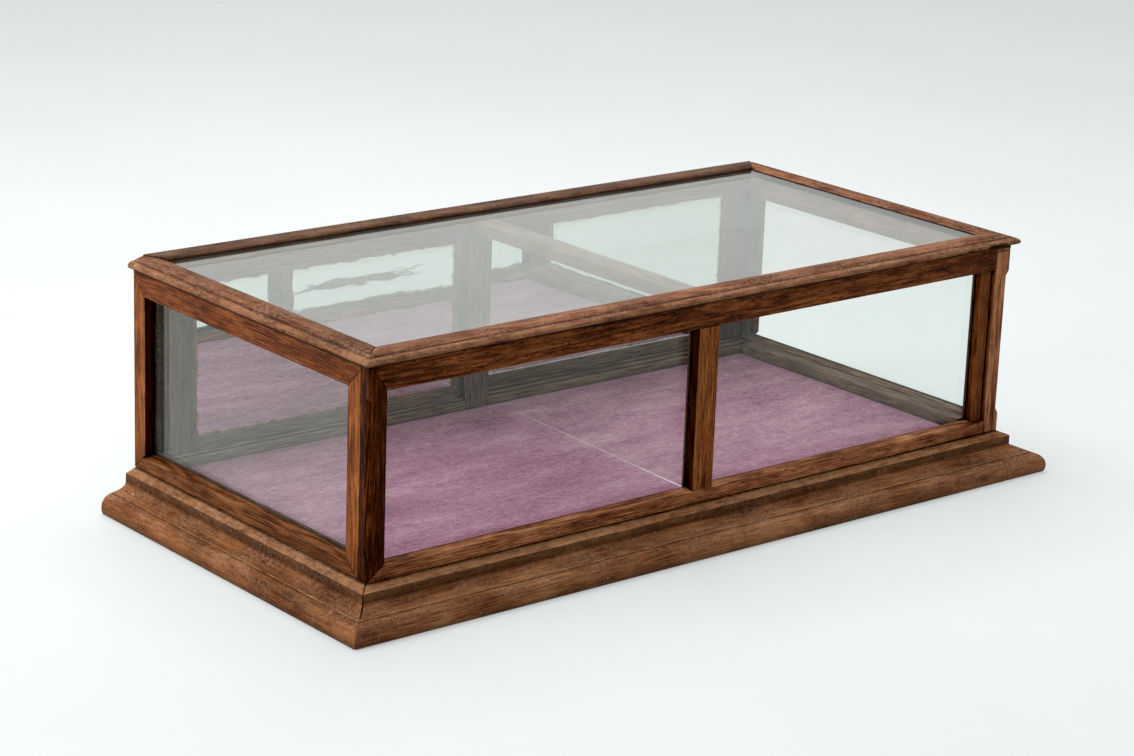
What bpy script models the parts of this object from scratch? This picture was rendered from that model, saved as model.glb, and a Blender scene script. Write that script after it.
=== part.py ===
"""Countertop display case: oak frames round plate glass, on a moulded base, with two mirrored sliding doors.

Metres, +Z up. The origin is on the table under the middle of the case, +X to the right, +Y to the back.
Each side of the case is built in the frame of an empty: x along the face, y inwards, z up.
"""

import bpy
import bmesh
from math import cos, pi, radians, sin
from mathutils import Matrix, Vector

MM = 0.001

# Overall sizes
BODY_LENGTH = 1113.6 * MM
BODY_DEPTH = 533.4 * MM
FRAME_TOP = 339.0 * MM
FIT = 0.3 * MM
EASE = 0.8 * MM
ARC_STEPS = 8
SHARP = radians(30)

# Base moulding, reaches measured out from the body's face and heights from the table
BASE_HEIGHT = 57.0 * MM
BASE_BOARD = 20.0 * MM
BASE_REACH = 53.2 * MM
BASE_FOOT_REACH = 50.0 * MM
BASE_NOSE_HEIGHT = 9.0 * MM
BASE_STEP_REACH = 36.5 * MM
BASE_STEP_HEIGHT = 27.0 * MM
BASE_STEP = 1.2 * MM
BASE_COVE_TOP = 39.5 * MM
BASE_LEDGE_REACH = 13.6 * MM
BASE_LEDGE_HEIGHT = 52.0 * MM

# Floor of the case
FLOOR_BOARD = 12.0 * MM
LINING = 1.5 * MM
LINING_MARGIN = 0.6 * MM
FLOOR_REBATE = 8.0 * MM
BEARER_WIDTH = 32.0 * MM
BEARER_HEIGHT = 30.0 * MM

# Frames: a lip in front of the glass, then a rebate that holds the glass and its bead
FRONT_LIP = 16.3 * MM
END_LIP = 15.0 * MM
GLASS = 4.0 * MM
BEAD = 8.0 * MM
FRONT_BEAD_PROUD = -3.5 * MM
END_BEAD_PROUD = 0.5 * MM
BEAD_EDGE = 0.4
REBATE = 8.0 * MM
STILE_REVEAL = 0.4 * MM
RIGHT_STILE = 19.0 * MM
RIGHT_STILE_GAP = 3.2 * MM
RIGHT_STILE_SETBACK = 5.0 * MM
END_STILE = 27.0 * MM
MULLION = 35.0 * MM
BOTTOM_RAIL = 18.5 * MM
FRONT_RISE = 2.5 * MM
END_RISE = 5.0 * MM
TOP_RAIL = 40.0 * MM
TENON_LENGTH = 10.0 * MM
TENON_THICKNESS = 6.0 * MM
TENON_SHOULDER = 4.0 * MM
CORNER_CHAMFER = 6.0 * MM
CHAMFER_STOP = 8.0 * MM
CHAMFER_MARGIN = 2.0 * MM
CLEAT_WIDTH = 25.0 * MM

# Cornice, reaches measured out from the body's face and heights from the top of the frames
CORNICE_REACH = 10.0 * MM
CORNICE_DROP = 5.0 * MM
CORNICE_NOSE_DROP = 1.5 * MM
CORNICE_QUIRK_REACH = 1.0 * MM
CORNICE_QUIRK_RISE = 5.0 * MM
CORNICE_QUIRK = 1.0 * MM
CORNICE_CREST_SET = 14.0 * MM
CORNICE_RISE = 9.5 * MM
CORNICE_INSET = 34.0 * MM
CORNICE_EDGE = 1.2 * MM
CORNICE_SWELL = 0.8 * MM
CORNICE_REAR_INSET = 28.0 * MM
CORNICE_REAR_RISE = 11.0 * MM
TOP_GLASS_INSET = 24.0 * MM
CROSS_BAR_HEIGHT = 18.0 * MM

# Back: a sill and a head with two tracks between three beads, and a post before the front track
SILL_BOARD = 13.5 * MM
SILL_LEDGE = 5.5 * MM
SILL_BEAD = 4.0 * MM
TRACK_BEAD = 4.0 * MM
REAR_BEAD = 3.5 * MM
HEAD_BOARD = 12.0 * MM
HEAD_BEAD = 8.0 * MM
REAR_POST = 39.0 * MM

# Sliding doors
DOOR_CLEARANCE = 0.5 * MM
DOOR_OVERLAP = 28.0 * MM
DOOR_LIFT = 4.4 * MM
DOOR_STILE = 42.0 * MM
DOOR_BOTTOM_RAIL = 13.0 * MM
DOOR_TOP_RAIL = 9.0 * MM
DOOR_BEAD_WIDTH = 8.0 * MM
DOOR_BEAD_DEPTH = 5.0 * MM
DOOR_BEAD_EDGE = 1.5 * MM
MIRROR = 4.0 * MM
BACKBOARD = 2.6 * MM
BACKBOARD_SINK = 0.8 * MM
DOOR_TENON_LENGTH = 24.0 * MM
DOOR_TENON_THICKNESS = 4.0 * MM
DOOR_TENON_SHOULDER = 2.0 * MM

# Planes worked out from the sizes above
LEFT = -BODY_LENGTH / 2
RIGHT = BODY_LENGTH / 2
FRONT = (BASE_REACH - BODY_DEPTH) / 2
REAR = (BASE_REACH + BODY_DEPTH) / 2
REBATE_DEPTH = GLASS + BEAD + 2 * FIT
FRONT_DEPTH = FRONT_LIP + REBATE_DEPTH
END_DEPTH = END_LIP + REBATE_DEPTH
FRONT_STILE = END_DEPTH + STILE_REVEAL
FRAME_BOTTOM = BASE_HEIGHT + FIT
RAIL_TOP = BASE_HEIGHT + BOTTOM_RAIL
FRONT_SIGHT = RAIL_TOP + FRONT_RISE
END_SIGHT = RAIL_TOP + END_RISE
TOP_SIGHT = FRAME_TOP - TOP_RAIL
JOINT_X = RIGHT - END_DEPTH
INNER_LEFT = LEFT + END_DEPTH + FIT
INNER_RIGHT = JOINT_X - FIT
DOOR_THICKNESS = DOOR_BEAD_DEPTH + MIRROR + BACKBOARD + BACKBOARD_SINK + 2 * FIT
TRACK = DOOR_THICKNESS + 2 * DOOR_CLEARANCE
SILL_FRONT = REAR - SILL_LEDGE - 2 * TRACK_BEAD - 2 * TRACK - REAR_BEAD
FRONT_TRACK = SILL_FRONT + SILL_LEDGE + TRACK_BEAD
REAR_TRACK = FRONT_TRACK + TRACK + TRACK_BEAD
SILL_TOP = FRAME_BOTTOM + SILL_BOARD + FIT + SILL_BEAD
HEAD_LOW = FRAME_TOP - HEAD_BOARD - FIT - HEAD_BEAD
RIGHT_STILE_LEFT = JOINT_X - RIGHT_STILE_GAP - RIGHT_STILE
MULLION_X = (LEFT + FRONT_STILE + RIGHT_STILE_LEFT) / 2
DOOR_BOTTOM = FRAME_BOTTOM + SILL_BOARD + FIT
DOOR_HEIGHT = FRAME_TOP - HEAD_BOARD - DOOR_LIFT - DOOR_BOTTOM

# Finishes: colour, roughness, metallic
OAK_DARK = ((0.080, 0.027, 0.009), 0.50, 0.0)
OAK_WARM = ((0.220, 0.085, 0.036), 0.55, 0.0)
OAK_DUSTY = ((0.230, 0.120, 0.070), 0.70, 0.0)
OAK_INSIDE = ((0.160, 0.120, 0.090), 0.70, 0.0)
DEAL = ((0.480, 0.330, 0.190), 0.80, 0.0)
CLOTH = ((0.340, 0.200, 0.280), 0.95, 0.0)
CLEAR_GLASS = ((0.800, 0.880, 0.850), 0.05, 0.0)
SILVERED = ((0.780, 0.800, 0.780), 0.08, 1.0)

for item in list(bpy.data.objects):
    bpy.data.objects.remove(item, do_unlink=True)
CASE = bpy.data.collections.new("countertop_display_case")
CUTTERS = bpy.data.collections.new("cutters")
bpy.context.scene.collection.children.link(CASE)
bpy.context.scene.collection.children.link(CUTTERS)


def arc(centre, radii, first, last, steps=ARC_STEPS):
    """Points on an ellipse from the first angle to the last, in degrees."""
    turn = (radians(last) - radians(first)) / steps
    angles = [radians(first) + turn * step for step in range(steps + 1)]
    return [(centre[0] + radii[0] * cos(a), centre[1] + radii[1] * sin(a)) for a in angles]


def bow(start, end, swell, steps=ARC_STEPS):
    """Points on a shallow curve from one point to another, swelling to the right of the way there."""
    way = Vector(end) - Vector(start)
    out = Vector((way.y, -way.x)).normalized()
    spots = [step / steps for step in range(steps + 1)]
    return [tuple(Vector(start) + way * t + out * swell * sin(pi * t)) for t in spots]


def rectangle(low, high):
    return [low, (high[0], low[1]), high, (low[0], high[1])]


def eased(outline, width=EASE):
    """Chamfer every outward corner of an outline that runs anticlockwise."""
    points = []
    for index, corner in enumerate(outline):
        here = Vector(corner)
        before = Vector(outline[index - 1]) - here
        after = Vector(outline[(index + 1) % len(outline)]) - here
        if before.x * after.y - before.y * after.x < 0:
            reach = min(width, before.length / 3, after.length / 3)
            points.append(tuple(here + before.normalized() * reach))
            points.append(tuple(here + after.normalized() * reach))
        else:
            points.append(corner)
    return points


def close_up(bm):
    """Weld a mesh, join its flat faces and turn the faces outwards."""
    bmesh.ops.remove_doubles(bm, verts=bm.verts[:], dist=1e-6)
    bmesh.ops.dissolve_limit(bm, angle_limit=0.002, verts=bm.verts[:], edges=bm.edges[:])
    bmesh.ops.recalc_face_normals(bm, faces=bm.faces[:])


def prism(outline, axis, start, end):
    """A mesh along an axis, with the outline as its section. Its points are the other two axes in order."""
    curve = bpy.data.curves.new("outline", "CURVE")
    curve.dimensions = "2D"
    curve.fill_mode = "BOTH"
    curve.extrude = (end - start) / 2
    spline = curve.splines.new("POLY")
    spline.points.add(len(outline) - 1)
    for point, place in zip(spline.points, outline):
        point.co = (place[0], place[1], 0, 1)
    spline.use_cyclic_u = True
    guide = bpy.data.objects.new("outline", curve)
    CUTTERS.objects.link(guide)
    mesh = bpy.data.meshes.new_from_object(guide.evaluated_get(bpy.context.evaluated_depsgraph_get()))
    bpy.data.objects.remove(guide)
    bpy.data.curves.remove(curve)
    rows = {
        "X": ((0, 0, 1), (1, 0, 0), (0, 1, 0)),
        "Y": ((1, 0, 0), (0, 0, -1), (0, 1, 0)),
        "Z": ((1, 0, 0), (0, 1, 0), (0, 0, 1)),
    }
    middle = Vector((0, 0, 0))
    middle["XYZ".index(axis)] = (start + end) / 2
    mesh.transform(Matrix.Translation(middle) @ Matrix(rows[axis]).to_4x4())
    bm = bmesh.new()
    bm.from_mesh(mesh)
    close_up(bm)
    bm.to_mesh(mesh)
    bm.free()
    return mesh


def box(low, high):
    """A plain box between two corners."""
    size = Vector(high) - Vector(low)
    place = Matrix.Translation((Vector(low) + Vector(high)) / 2) @ Matrix.Diagonal((*size, 1))
    bm = bmesh.new()
    bmesh.ops.create_cube(bm, size=1, matrix=place)
    mesh = bpy.data.meshes.new("box")
    bm.to_mesh(mesh)
    bm.free()
    return mesh


def bar(low, high):
    """A box between two corners, with its long edges eased."""
    spans = [h - l for l, h in zip(low, high)]
    longest = spans.index(max(spans))
    others = [index for index in range(3) if index != longest]
    outline = rectangle([low[i] for i in others], [high[i] for i in others])
    return prism(eased(outline), "XYZ"[longest], low[longest], high[longest])


def trim(mesh, point, normal, capped=True):
    """Cut away the side of a plane that its normal points to, and close the cut."""
    bm = bmesh.new()
    bm.from_mesh(mesh)
    everything = bm.verts[:] + bm.edges[:] + bm.faces[:]
    bmesh.ops.bisect_plane(bm, geom=everything, dist=1e-7, plane_co=point, plane_no=normal, clear_outer=True)
    if capped:
        bmesh.ops.edgeloop_fill(bm, edges=[edge for edge in bm.edges if edge.is_boundary])
    close_up(bm)
    bm.to_mesh(mesh)
    bm.free()
    return mesh


def weld(meshes):
    """Open lengths joined end to end into one closed body."""
    bm = bmesh.new()
    for mesh in meshes:
        bm.from_mesh(mesh)
        bpy.data.meshes.remove(mesh)
    bmesh.ops.remove_doubles(bm, verts=bm.verts[:], dist=1e-6)
    bmesh.ops.recalc_face_normals(bm, faces=bm.faces[:])
    ring = bpy.data.meshes.new("ring")
    bm.to_mesh(ring)
    bm.free()
    return ring


def piece(name, mesh, finish, parent=None):
    """One named sub-part with its own material."""
    colour, roughness, metallic = finish
    material = bpy.data.materials.new(name + "_finish")
    material.use_nodes = True
    shader = material.node_tree.nodes["Principled BSDF"]
    shader.inputs["Base Color"].default_value = (*colour, 1)
    shader.inputs["Roughness"].default_value = roughness
    shader.inputs["Metallic"].default_value = metallic
    mesh.name = name
    mesh.materials.clear()
    mesh.materials.append(material)
    mesh.shade_smooth()
    mesh.set_sharp_from_angle(angle=SHARP)
    item = bpy.data.objects.new(name, mesh)
    item.parent = parent
    CASE.objects.link(item)
    return item


def tool(name, mesh, parent=None):
    """A solid that only cuts or joins."""
    item = bpy.data.objects.new(name, mesh)
    item.parent = parent
    item.display_type = "WIRE"
    item.hide_render = True
    CUTTERS.objects.link(item)
    return item


def combine(item, other, operation):
    modifier = item.modifiers.new(other.name, "BOOLEAN")
    modifier.operation = operation
    modifier.solver = "EXACT"
    modifier.object = other


def tenon(rail, stile, low, high, root, parent=None):
    """Join a box to the rail and cut its socket in the stile. The root is how far it is sunk in the rail."""
    tongue = box([l + min(r, 0) for l, r in zip(low, root)], [h + max(r, 0) for h, r in zip(high, root)])
    combine(rail, tool(rail.name + "_tenon", tongue, parent), "UNION")
    socket = box([l - FIT for l in low], [h + FIT for h in high])
    combine(stile, tool(stile.name + "_socket", socket, parent), "DIFFERENCE")


def empty(name, location, turn=0.0):
    """The frame that a side or a door is built in."""
    item = bpy.data.objects.new(name, None)
    item.location = location
    item.rotation_euler = (0, 0, turn)
    CASE.objects.link(item)
    return item


def mitre(mesh, corner, keep):
    """Cut a mitre through a corner of the plan, keeping the side that the direction points to."""
    away = -Vector((keep[0], keep[1], 0)).normalized()
    return trim(mesh, Vector((corner[0], corner[1], 0)) - away * FIT / 2, away)


def meet(upper, lower, start, end):
    """Cut two pieces to meet along a line of x and z, the first above it and the second below it."""
    up = Vector((start[1] - end[1], 0, end[0] - start[0])).normalized()
    if up.z < 0:
        up.negate()
    point = Vector((start[0], 0, start[1]))
    trim(upper, point + up * FIT / 2, -up)
    trim(lower, point - up * FIT / 2, up)


def base_profile():
    """Reach and height of the base moulding: foot, torus, step, cove, fillet and sloping ledge."""
    foot_radii = (BASE_REACH - BASE_FOOT_REACH, BASE_NOSE_HEIGHT)
    foot = arc((BASE_FOOT_REACH, BASE_NOSE_HEIGHT), foot_radii, -90, 0, 3)
    torus_radii = (BASE_REACH - BASE_STEP_REACH, BASE_STEP_HEIGHT - BASE_NOSE_HEIGHT)
    torus = arc((BASE_STEP_REACH, BASE_NOSE_HEIGHT), torus_radii, 0, 90)
    cove_low = BASE_STEP_HEIGHT + BASE_STEP
    cove_radii = (BASE_STEP_REACH - BASE_STEP - BASE_LEDGE_REACH, BASE_COVE_TOP - cove_low)
    cove = arc((BASE_STEP_REACH - BASE_STEP, BASE_COVE_TOP), cove_radii, 270, 180)
    ledge = [(BASE_LEDGE_REACH, BASE_LEDGE_HEIGHT - EASE), (BASE_LEDGE_REACH - EASE, BASE_LEDGE_HEIGHT)]
    quirk = [(BASE_STEP_REACH - BASE_STEP, BASE_STEP_HEIGHT)]
    return foot + torus + quirk + cove + ledge + [(0, BASE_HEIGHT)] + floor_rebate()


def floor_rebate():
    """The inner side of the base, with a rebate at the top that the floor boards lie in."""
    return [
        (FLOOR_REBATE - BASE_BOARD, BASE_HEIGHT),
        (FLOOR_REBATE - BASE_BOARD, BASE_HEIGHT - FLOOR_BOARD - FIT),
        (-BASE_BOARD, BASE_HEIGHT - FLOOR_BOARD - FIT),
        (-BASE_BOARD, 0),
    ]


def build_base():
    profile = base_profile()
    left_corner = (LEFT, FRONT)
    right_corner = (RIGHT, FRONT)
    front = prism([(FRONT - reach, z) for reach, z in profile], "X", LEFT - BASE_REACH, JOINT_X - FIT / 2)
    piece("base_front_moulding", mitre(front, left_corner, (1, -1)), OAK_DUSTY)
    stub = prism([(FRONT - reach, z) for reach, z in profile], "X", JOINT_X + FIT / 2, RIGHT + BASE_REACH)
    piece("base_right_return", mitre(stub, right_corner, (-1, -1)), OAK_DUSTY)
    left = prism([(LEFT - reach, z) for reach, z in profile], "Y", FRONT - BASE_REACH, REAR)
    piece("base_left_moulding", mitre(left, left_corner, (-1, 1)), OAK_DUSTY)
    right = prism([(RIGHT + reach, z) for reach, z in profile], "Y", FRONT - BASE_REACH, REAR)
    piece("base_right_moulding", mitre(right, right_corner, (1, 1)), OAK_DUSTY)

    inner_left = LEFT + BASE_BOARD + FIT
    inner_right = RIGHT - BASE_BOARD - FIT
    rail = [(REAR + reach, z) for reach, z in [(0, 0), (0, BASE_HEIGHT)] + floor_rebate()]
    piece("base_rear_rail", prism(rail, "X", inner_left, inner_right), DEAL)

    bearer_top = BASE_HEIGHT - FLOOR_BOARD - FIT
    bearer_low = (-BEARER_WIDTH / 2, FRONT + BASE_BOARD + FIT, bearer_top - BEARER_HEIGHT)
    bearer_high = (BEARER_WIDTH / 2, REAR - BASE_BOARD - FIT, bearer_top)
    piece("floor_bearer", bar(bearer_low, bearer_high), DEAL)


def build_floor():
    inset = BASE_BOARD - FLOOR_REBATE + FIT
    under = BASE_HEIGHT - FLOOR_BOARD
    board = box((LEFT + inset, FRONT + inset, under), (RIGHT - inset, REAR - inset, BASE_HEIGHT))
    piece("floor_board", board, DEAL)

    cleat_left = INNER_RIGHT - CLEAT_WIDTH
    cloth_front = FRONT + FRONT_DEPTH + LINING_MARGIN
    cloth_rear = SILL_FRONT - LINING_MARGIN
    cloth_top = FRAME_BOTTOM + LINING
    left_low = (INNER_LEFT + LINING_MARGIN, cloth_front, FRAME_BOTTOM)
    right_low = (LINING_MARGIN, cloth_front, FRAME_BOTTOM)
    piece("lining_left", box(left_low, (-LINING_MARGIN, cloth_rear, cloth_top)), CLOTH)
    piece("lining_right", box(right_low, (cleat_left - LINING_MARGIN, cloth_rear, cloth_top)), CLOTH)

    cleat_low = (cleat_left, FRONT + FRONT_DEPTH + FIT, FRAME_BOTTOM)
    cleat_high = (INNER_RIGHT, SILL_FRONT - FIT, SILL_TOP)
    piece("right_floor_cleat", bar(cleat_low, cleat_high), OAK_INSIDE)


def bottom_rail_profile(lip, depth, sight):
    """Depth and height of a bottom rail: a lip that rises towards the glass, then the glazing ledge."""
    ledge = sight - REBATE - FIT
    foot = [(0, FRAME_BOTTOM), (depth, FRAME_BOTTOM)]
    return eased(foot + [(depth, ledge), (lip, ledge), (lip, sight), (0, RAIL_TOP)])


def top_rail_profile(lip, depth):
    """Depth and height of a top rail, with the glazing rebate in its lower inner corner."""
    rebate = TOP_SIGHT + REBATE + FIT
    head = [(depth, FRAME_TOP), (0, FRAME_TOP)]
    return eased([(0, TOP_SIGHT), (lip, TOP_SIGHT), (lip, rebate), (depth, rebate)] + head)


def bead_ring(low, high, section):
    """Mitred beads inside a rectangle of x and z. The section is depth, and width in from the edge."""
    lengths = []
    centre = ((low[0] + high[0]) / 2, (low[1] + high[1]) / 2)
    spans = (high[0] - low[0], high[1] - low[1])
    for quarter in range(4):
        end = spans[quarter % 2] / 2
        spare = max(width for depth, width in section)
        length = prism(section, "X", -end - spare, end + spare)
        trim(length, (-end, 0, 0), (-1, 0, 1), capped=False)
        trim(length, (end, 0, 0), (1, 0, 1), capped=False)
        turn = Matrix.Rotation(quarter * pi / 2, 4, "Y")
        out = turn @ Vector((0, 0, -spans[(quarter + 1) % 2] / 2))
        length.transform(Matrix.Translation((centre[0] + out.x, 0, centre[1] + out.z)) @ turn)
        lengths.append(length)
    return weld(lengths)


def pane(glass, beads, sight_low, sight_high, lip, proud, parent):
    """A pane of glass behind a frame's lip, and the sloping beads that hold it."""
    low = (sight_low[0] - REBATE, sight_low[1] - REBATE)
    high = (sight_high[0] + REBATE, sight_high[1] + REBATE)
    face = lip + FIT + GLASS
    piece(glass, box((low[0], lip + FIT, low[1]), (high[0], face, high[1])), CLEAR_GLASS, parent)
    front = face + FIT
    back = front + BEAD
    width = REBATE + proud
    slope = [(back, width * BEAD_EDGE), (front + BEAD * BEAD_EDGE, width)]
    section = [(front, 0), (back, 0)] + slope + [(front, width)]
    piece(beads, bead_ring(low, high, section), OAK_INSIDE, parent)


def chamfer_tool(name, corner, inward, parent):
    """A wedge for a stopped chamfer on an upright outer corner, between the top and bottom rails."""
    low = END_SIGHT + CHAMFER_MARGIN
    high = TOP_SIGHT - CHAMFER_MARGIN
    far = 3 * CORNER_CHAMFER
    side = Vector((inward[0], 0, 0))
    deep = Vector((0, inward[1], 0))
    here = Vector((corner[0], corner[1], 0))
    points = [
        here + side * CORNER_CHAMFER * 2 - deep * CORNER_CHAMFER,
        here + deep * CORNER_CHAMFER * 2 - side * CORNER_CHAMFER,
        here - deep * far - side * far,
    ]
    wedge = prism([(p.x, p.y) for p in points], "Z", low - far, high + far)
    slope = CORNER_CHAMFER / CHAMFER_STOP
    trim(wedge, here + Vector((0, 0, low)), side + deep - Vector((0, 0, slope)))
    trim(wedge, here + Vector((0, 0, high)), side + deep + Vector((0, 0, slope)))
    return tool(name, wedge, parent)


def build_front():
    """The front frame, mitred at its left corner and butted against the right end frame."""
    frame = empty("front", (0, FRONT, 0))
    stile_right = LEFT + FRONT_STILE
    rail_right = JOINT_X - FIT
    bottom = prism(bottom_rail_profile(FRONT_LIP, FRONT_DEPTH, FRONT_SIGHT), "X", LEFT, rail_right)
    top = prism(top_rail_profile(FRONT_LIP, FRONT_DEPTH), "X", LEFT, rail_right)
    stile_outline = eased(rectangle((LEFT, 0), (stile_right, FRONT_LIP)))
    stile = prism(stile_outline, "Z", FRAME_BOTTOM, FRAME_TOP)
    meet(stile, bottom, (LEFT, FRAME_BOTTOM), (stile_right, FRONT_SIGHT))
    meet(top, stile, (stile_right, TOP_SIGHT), (LEFT, FRAME_TOP))

    bottom_rail = piece("front_bottom_rail", bottom, OAK_WARM, frame)
    top_rail = piece("front_top_rail", top, OAK_DARK, frame)
    left_stile = piece("front_left_stile", stile, OAK_DARK, frame)
    combine(left_stile, chamfer_tool("left_corner_chamfer", (LEFT, 0), (1, 1), frame), "DIFFERENCE")
    end_low = (LEFT - BEAD, FRONT_LIP, 0)
    end_high = (stile_right + FIT, FRONT_DEPTH + BEAD, FRAME_TOP + BEAD)
    for rail in (bottom_rail, top_rail):
        combine(rail, tool(rail.name + "_end", box(end_low, end_high), frame), "DIFFERENCE")

    mullion = build_posts(frame)
    width = MULLION / 2 - TENON_SHOULDER
    middle = FRONT_LIP / 2
    thin = TENON_THICKNESS / 2
    for rail, low, high, root in (
        (bottom_rail, FRONT_SIGHT - TENON_LENGTH, FRONT_SIGHT + FIT, TENON_LENGTH),
        (top_rail, TOP_SIGHT - FIT, TOP_SIGHT + TENON_LENGTH, -TENON_LENGTH),
    ):
        tongue_low = (MULLION_X - width, middle - thin, low)
        tongue_high = (MULLION_X + width, middle + thin, high)
        tenon(mullion, rail, tongue_low, tongue_high, (0, 0, root), frame)

    for name, sight_left, sight_right in (
        ("left", stile_right, MULLION_X - MULLION / 2),
        ("right", MULLION_X + MULLION / 2, RIGHT_STILE_LEFT),
    ):
        low = (sight_left, FRONT_SIGHT)
        high = (sight_right, TOP_SIGHT)
        names = ("front_glass_" + name, "front_beads_" + name)
        pane(*names, low, high, FRONT_LIP, FRONT_BEAD_PROUD, frame)
    return top_rail


def build_posts(frame):
    """The mullion and the right stile, scribed over the lips of the front rails."""
    half = MULLION / 2
    web = half - REBATE - FIT
    tee = [
        (MULLION_X - half, 0),
        (MULLION_X + half, 0),
        (MULLION_X + half, FRONT_LIP),
        (MULLION_X + web, FRONT_LIP),
        (MULLION_X + web, FRONT_DEPTH),
        (MULLION_X - web, FRONT_DEPTH),
        (MULLION_X - web, FRONT_LIP),
        (MULLION_X - half, FRONT_LIP),
    ]
    web_low = FRONT_SIGHT - REBATE
    web_high = TOP_SIGHT + REBATE
    mullion = piece("front_mullion", prism(eased(tee), "Z", web_low, web_high), OAK_WARM, frame)

    leg = RIGHT_STILE_LEFT + REBATE + FIT
    face = RIGHT_STILE_LEFT + RIGHT_STILE
    stepped = [
        (RIGHT_STILE_LEFT, RIGHT_STILE_SETBACK),
        (face, RIGHT_STILE_SETBACK),
        (face, FRONT_LIP),
        (INNER_RIGHT, FRONT_LIP),
        (INNER_RIGHT, FRONT_DEPTH),
        (leg, FRONT_DEPTH),
        (leg, FRONT_LIP),
        (RIGHT_STILE_LEFT, FRONT_LIP),
    ]
    right_stile = piece("front_right_stile", prism(eased(stepped), "Z", web_low, web_high), OAK_WARM, frame)

    behind = FRONT_LIP + FIT
    foot_top = [(behind, FRONT_SIGHT + FIT), (-FIT, RAIL_TOP + FIT)]
    foot = [(-FIT, web_low - FIT), (behind, web_low - FIT)] + foot_top
    head = rectangle((-FIT, TOP_SIGHT - FIT), (behind, web_high + FIT))
    for post in (mullion, right_stile):
        for end, outline in (("_foot", foot), ("_head", head)):
            lip = prism(outline, "X", LEFT, RIGHT)
            combine(post, tool(post.name + end, lip, frame), "DIFFERENCE")
    return mullion


def build_end(side, start, end, turn, x):
    """A mitred end frame between two depths of the case, with its pane and beads."""
    frame = empty(side + "_end", (x, (start + end) / 2, 0), turn)
    half = (end - start) / 2
    sight = half - END_STILE
    stile_profile = [
        (-half, 0),
        (-sight, 0),
        (-sight, END_LIP),
        (-sight - REBATE - FIT, END_LIP),
        (-sight - REBATE - FIT, END_DEPTH),
        (-half, END_DEPTH),
    ]
    bottom = prism(bottom_rail_profile(END_LIP, END_DEPTH, END_SIGHT), "X", -half, half)
    top = prism(top_rail_profile(END_LIP, END_DEPTH), "X", -half, half)
    stiles = []
    for way in (1, -1):
        stile = prism([(way * u, d) for u, d in eased(stile_profile)], "Z", FRAME_BOTTOM, FRAME_TOP)
        meet(stile, bottom, (-way * half, FRAME_BOTTOM), (-way * sight, END_SIGHT))
        meet(top, stile, (-way * sight, TOP_SIGHT), (-way * half, TOP_SIGHT + END_STILE))
        stiles.append(stile)
    piece(side + "_bottom_rail", bottom, OAK_WARM, frame)
    piece(side + "_top_rail", top, OAK_WARM, frame)
    names = ("_rear_stile", "_front_stile") if side == "left" else ("_front_stile", "_rear_stile")
    uprights = {name: piece(side + name, mesh, OAK_WARM, frame) for name, mesh in zip(names, stiles)}
    low = (-sight, END_SIGHT)
    high = (sight, TOP_SIGHT)
    pane(side + "_glass", side + "_beads", low, high, END_LIP, END_BEAD_PROUD, frame)
    return frame, uprights["_front_stile"]


def build_ends():
    front_edge = FRONT + FRONT_LIP + FIT
    left_stile = build_end("left", front_edge, REAR, -pi / 2, LEFT)[1]
    corner = LEFT + FRONT_STILE - REBATE - FIT
    rebate_low = (corner, front_edge - BEAD, 0)
    rebate_high = (corner + END_DEPTH, front_edge + REBATE_DEPTH, FRAME_TOP + BEAD)
    combine(left_stile, tool("front_glass_rebate", box(rebate_low, rebate_high)), "DIFFERENCE")
    frame, post = build_end("right", FRONT, REAR, pi / 2, RIGHT)
    combine(post, chamfer_tool("right_corner_chamfer", (-BODY_DEPTH / 2, 0), (1, 1), frame), "DIFFERENCE")


def cornice_profile():
    """Reach and height of the cornice: rounded nose, quirk, rounded band, and rebates for frame and glass."""
    quirk_height = FRAME_TOP + CORNICE_QUIRK_RISE
    crest = FRAME_TOP + CORNICE_RISE
    nose_height = FRAME_TOP - CORNICE_NOSE_DROP
    glass_top = FRAME_TOP + GLASS + 2 * FIT
    inner_edge = glass_top + CORNICE_EDGE
    under_radii = (CORNICE_REACH - CORNICE_QUIRK_REACH, CORNICE_DROP - CORNICE_NOSE_DROP)
    under = arc((CORNICE_QUIRK_REACH, nose_height), under_radii, -60, 0, 3)
    nose_radii = (CORNICE_REACH - CORNICE_QUIRK_REACH, quirk_height - nose_height)
    nose = arc((CORNICE_QUIRK_REACH, nose_height), nose_radii, 0, 90)
    ridge = (-CORNICE_CREST_SET, crest)
    outer_band = bow((CORNICE_QUIRK_REACH - CORNICE_QUIRK, quirk_height), ridge, CORNICE_SWELL)
    inner_band = bow(ridge, (-CORNICE_INSET, inner_edge), CORNICE_SWELL)
    quirk = [(CORNICE_QUIRK_REACH - CORNICE_QUIRK / 2, quirk_height - CORNICE_QUIRK)]
    rest = [
        (-CORNICE_INSET, glass_top),
        (-TOP_GLASS_INSET, glass_top),
        (-TOP_GLASS_INSET, FRAME_TOP + FIT),
        (FIT, FRAME_TOP + FIT),
        (FIT, nose_height - under_radii[1] * sin(radians(60))),
    ]
    return under + nose[1:] + quirk + outer_band + inner_band[1:] + rest


def scarf(mesh, face, way, outside=True):
    """Cut a slanting joint from a side cornice's ridge at the back to its inner edge. Way points inwards."""
    ridge = Vector((face + way * CORNICE_CREST_SET, REAR, 0))
    inner = Vector((face + way * CORNICE_INSET, REAR - CORNICE_REAR_INSET, 0))
    line = inner - ridge
    inwards = Vector((-line.y * way, line.x * way, 0)).normalized()
    away = inwards if outside else -inwards
    return trim(mesh, ridge - away * FIT / 2, away)


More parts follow.
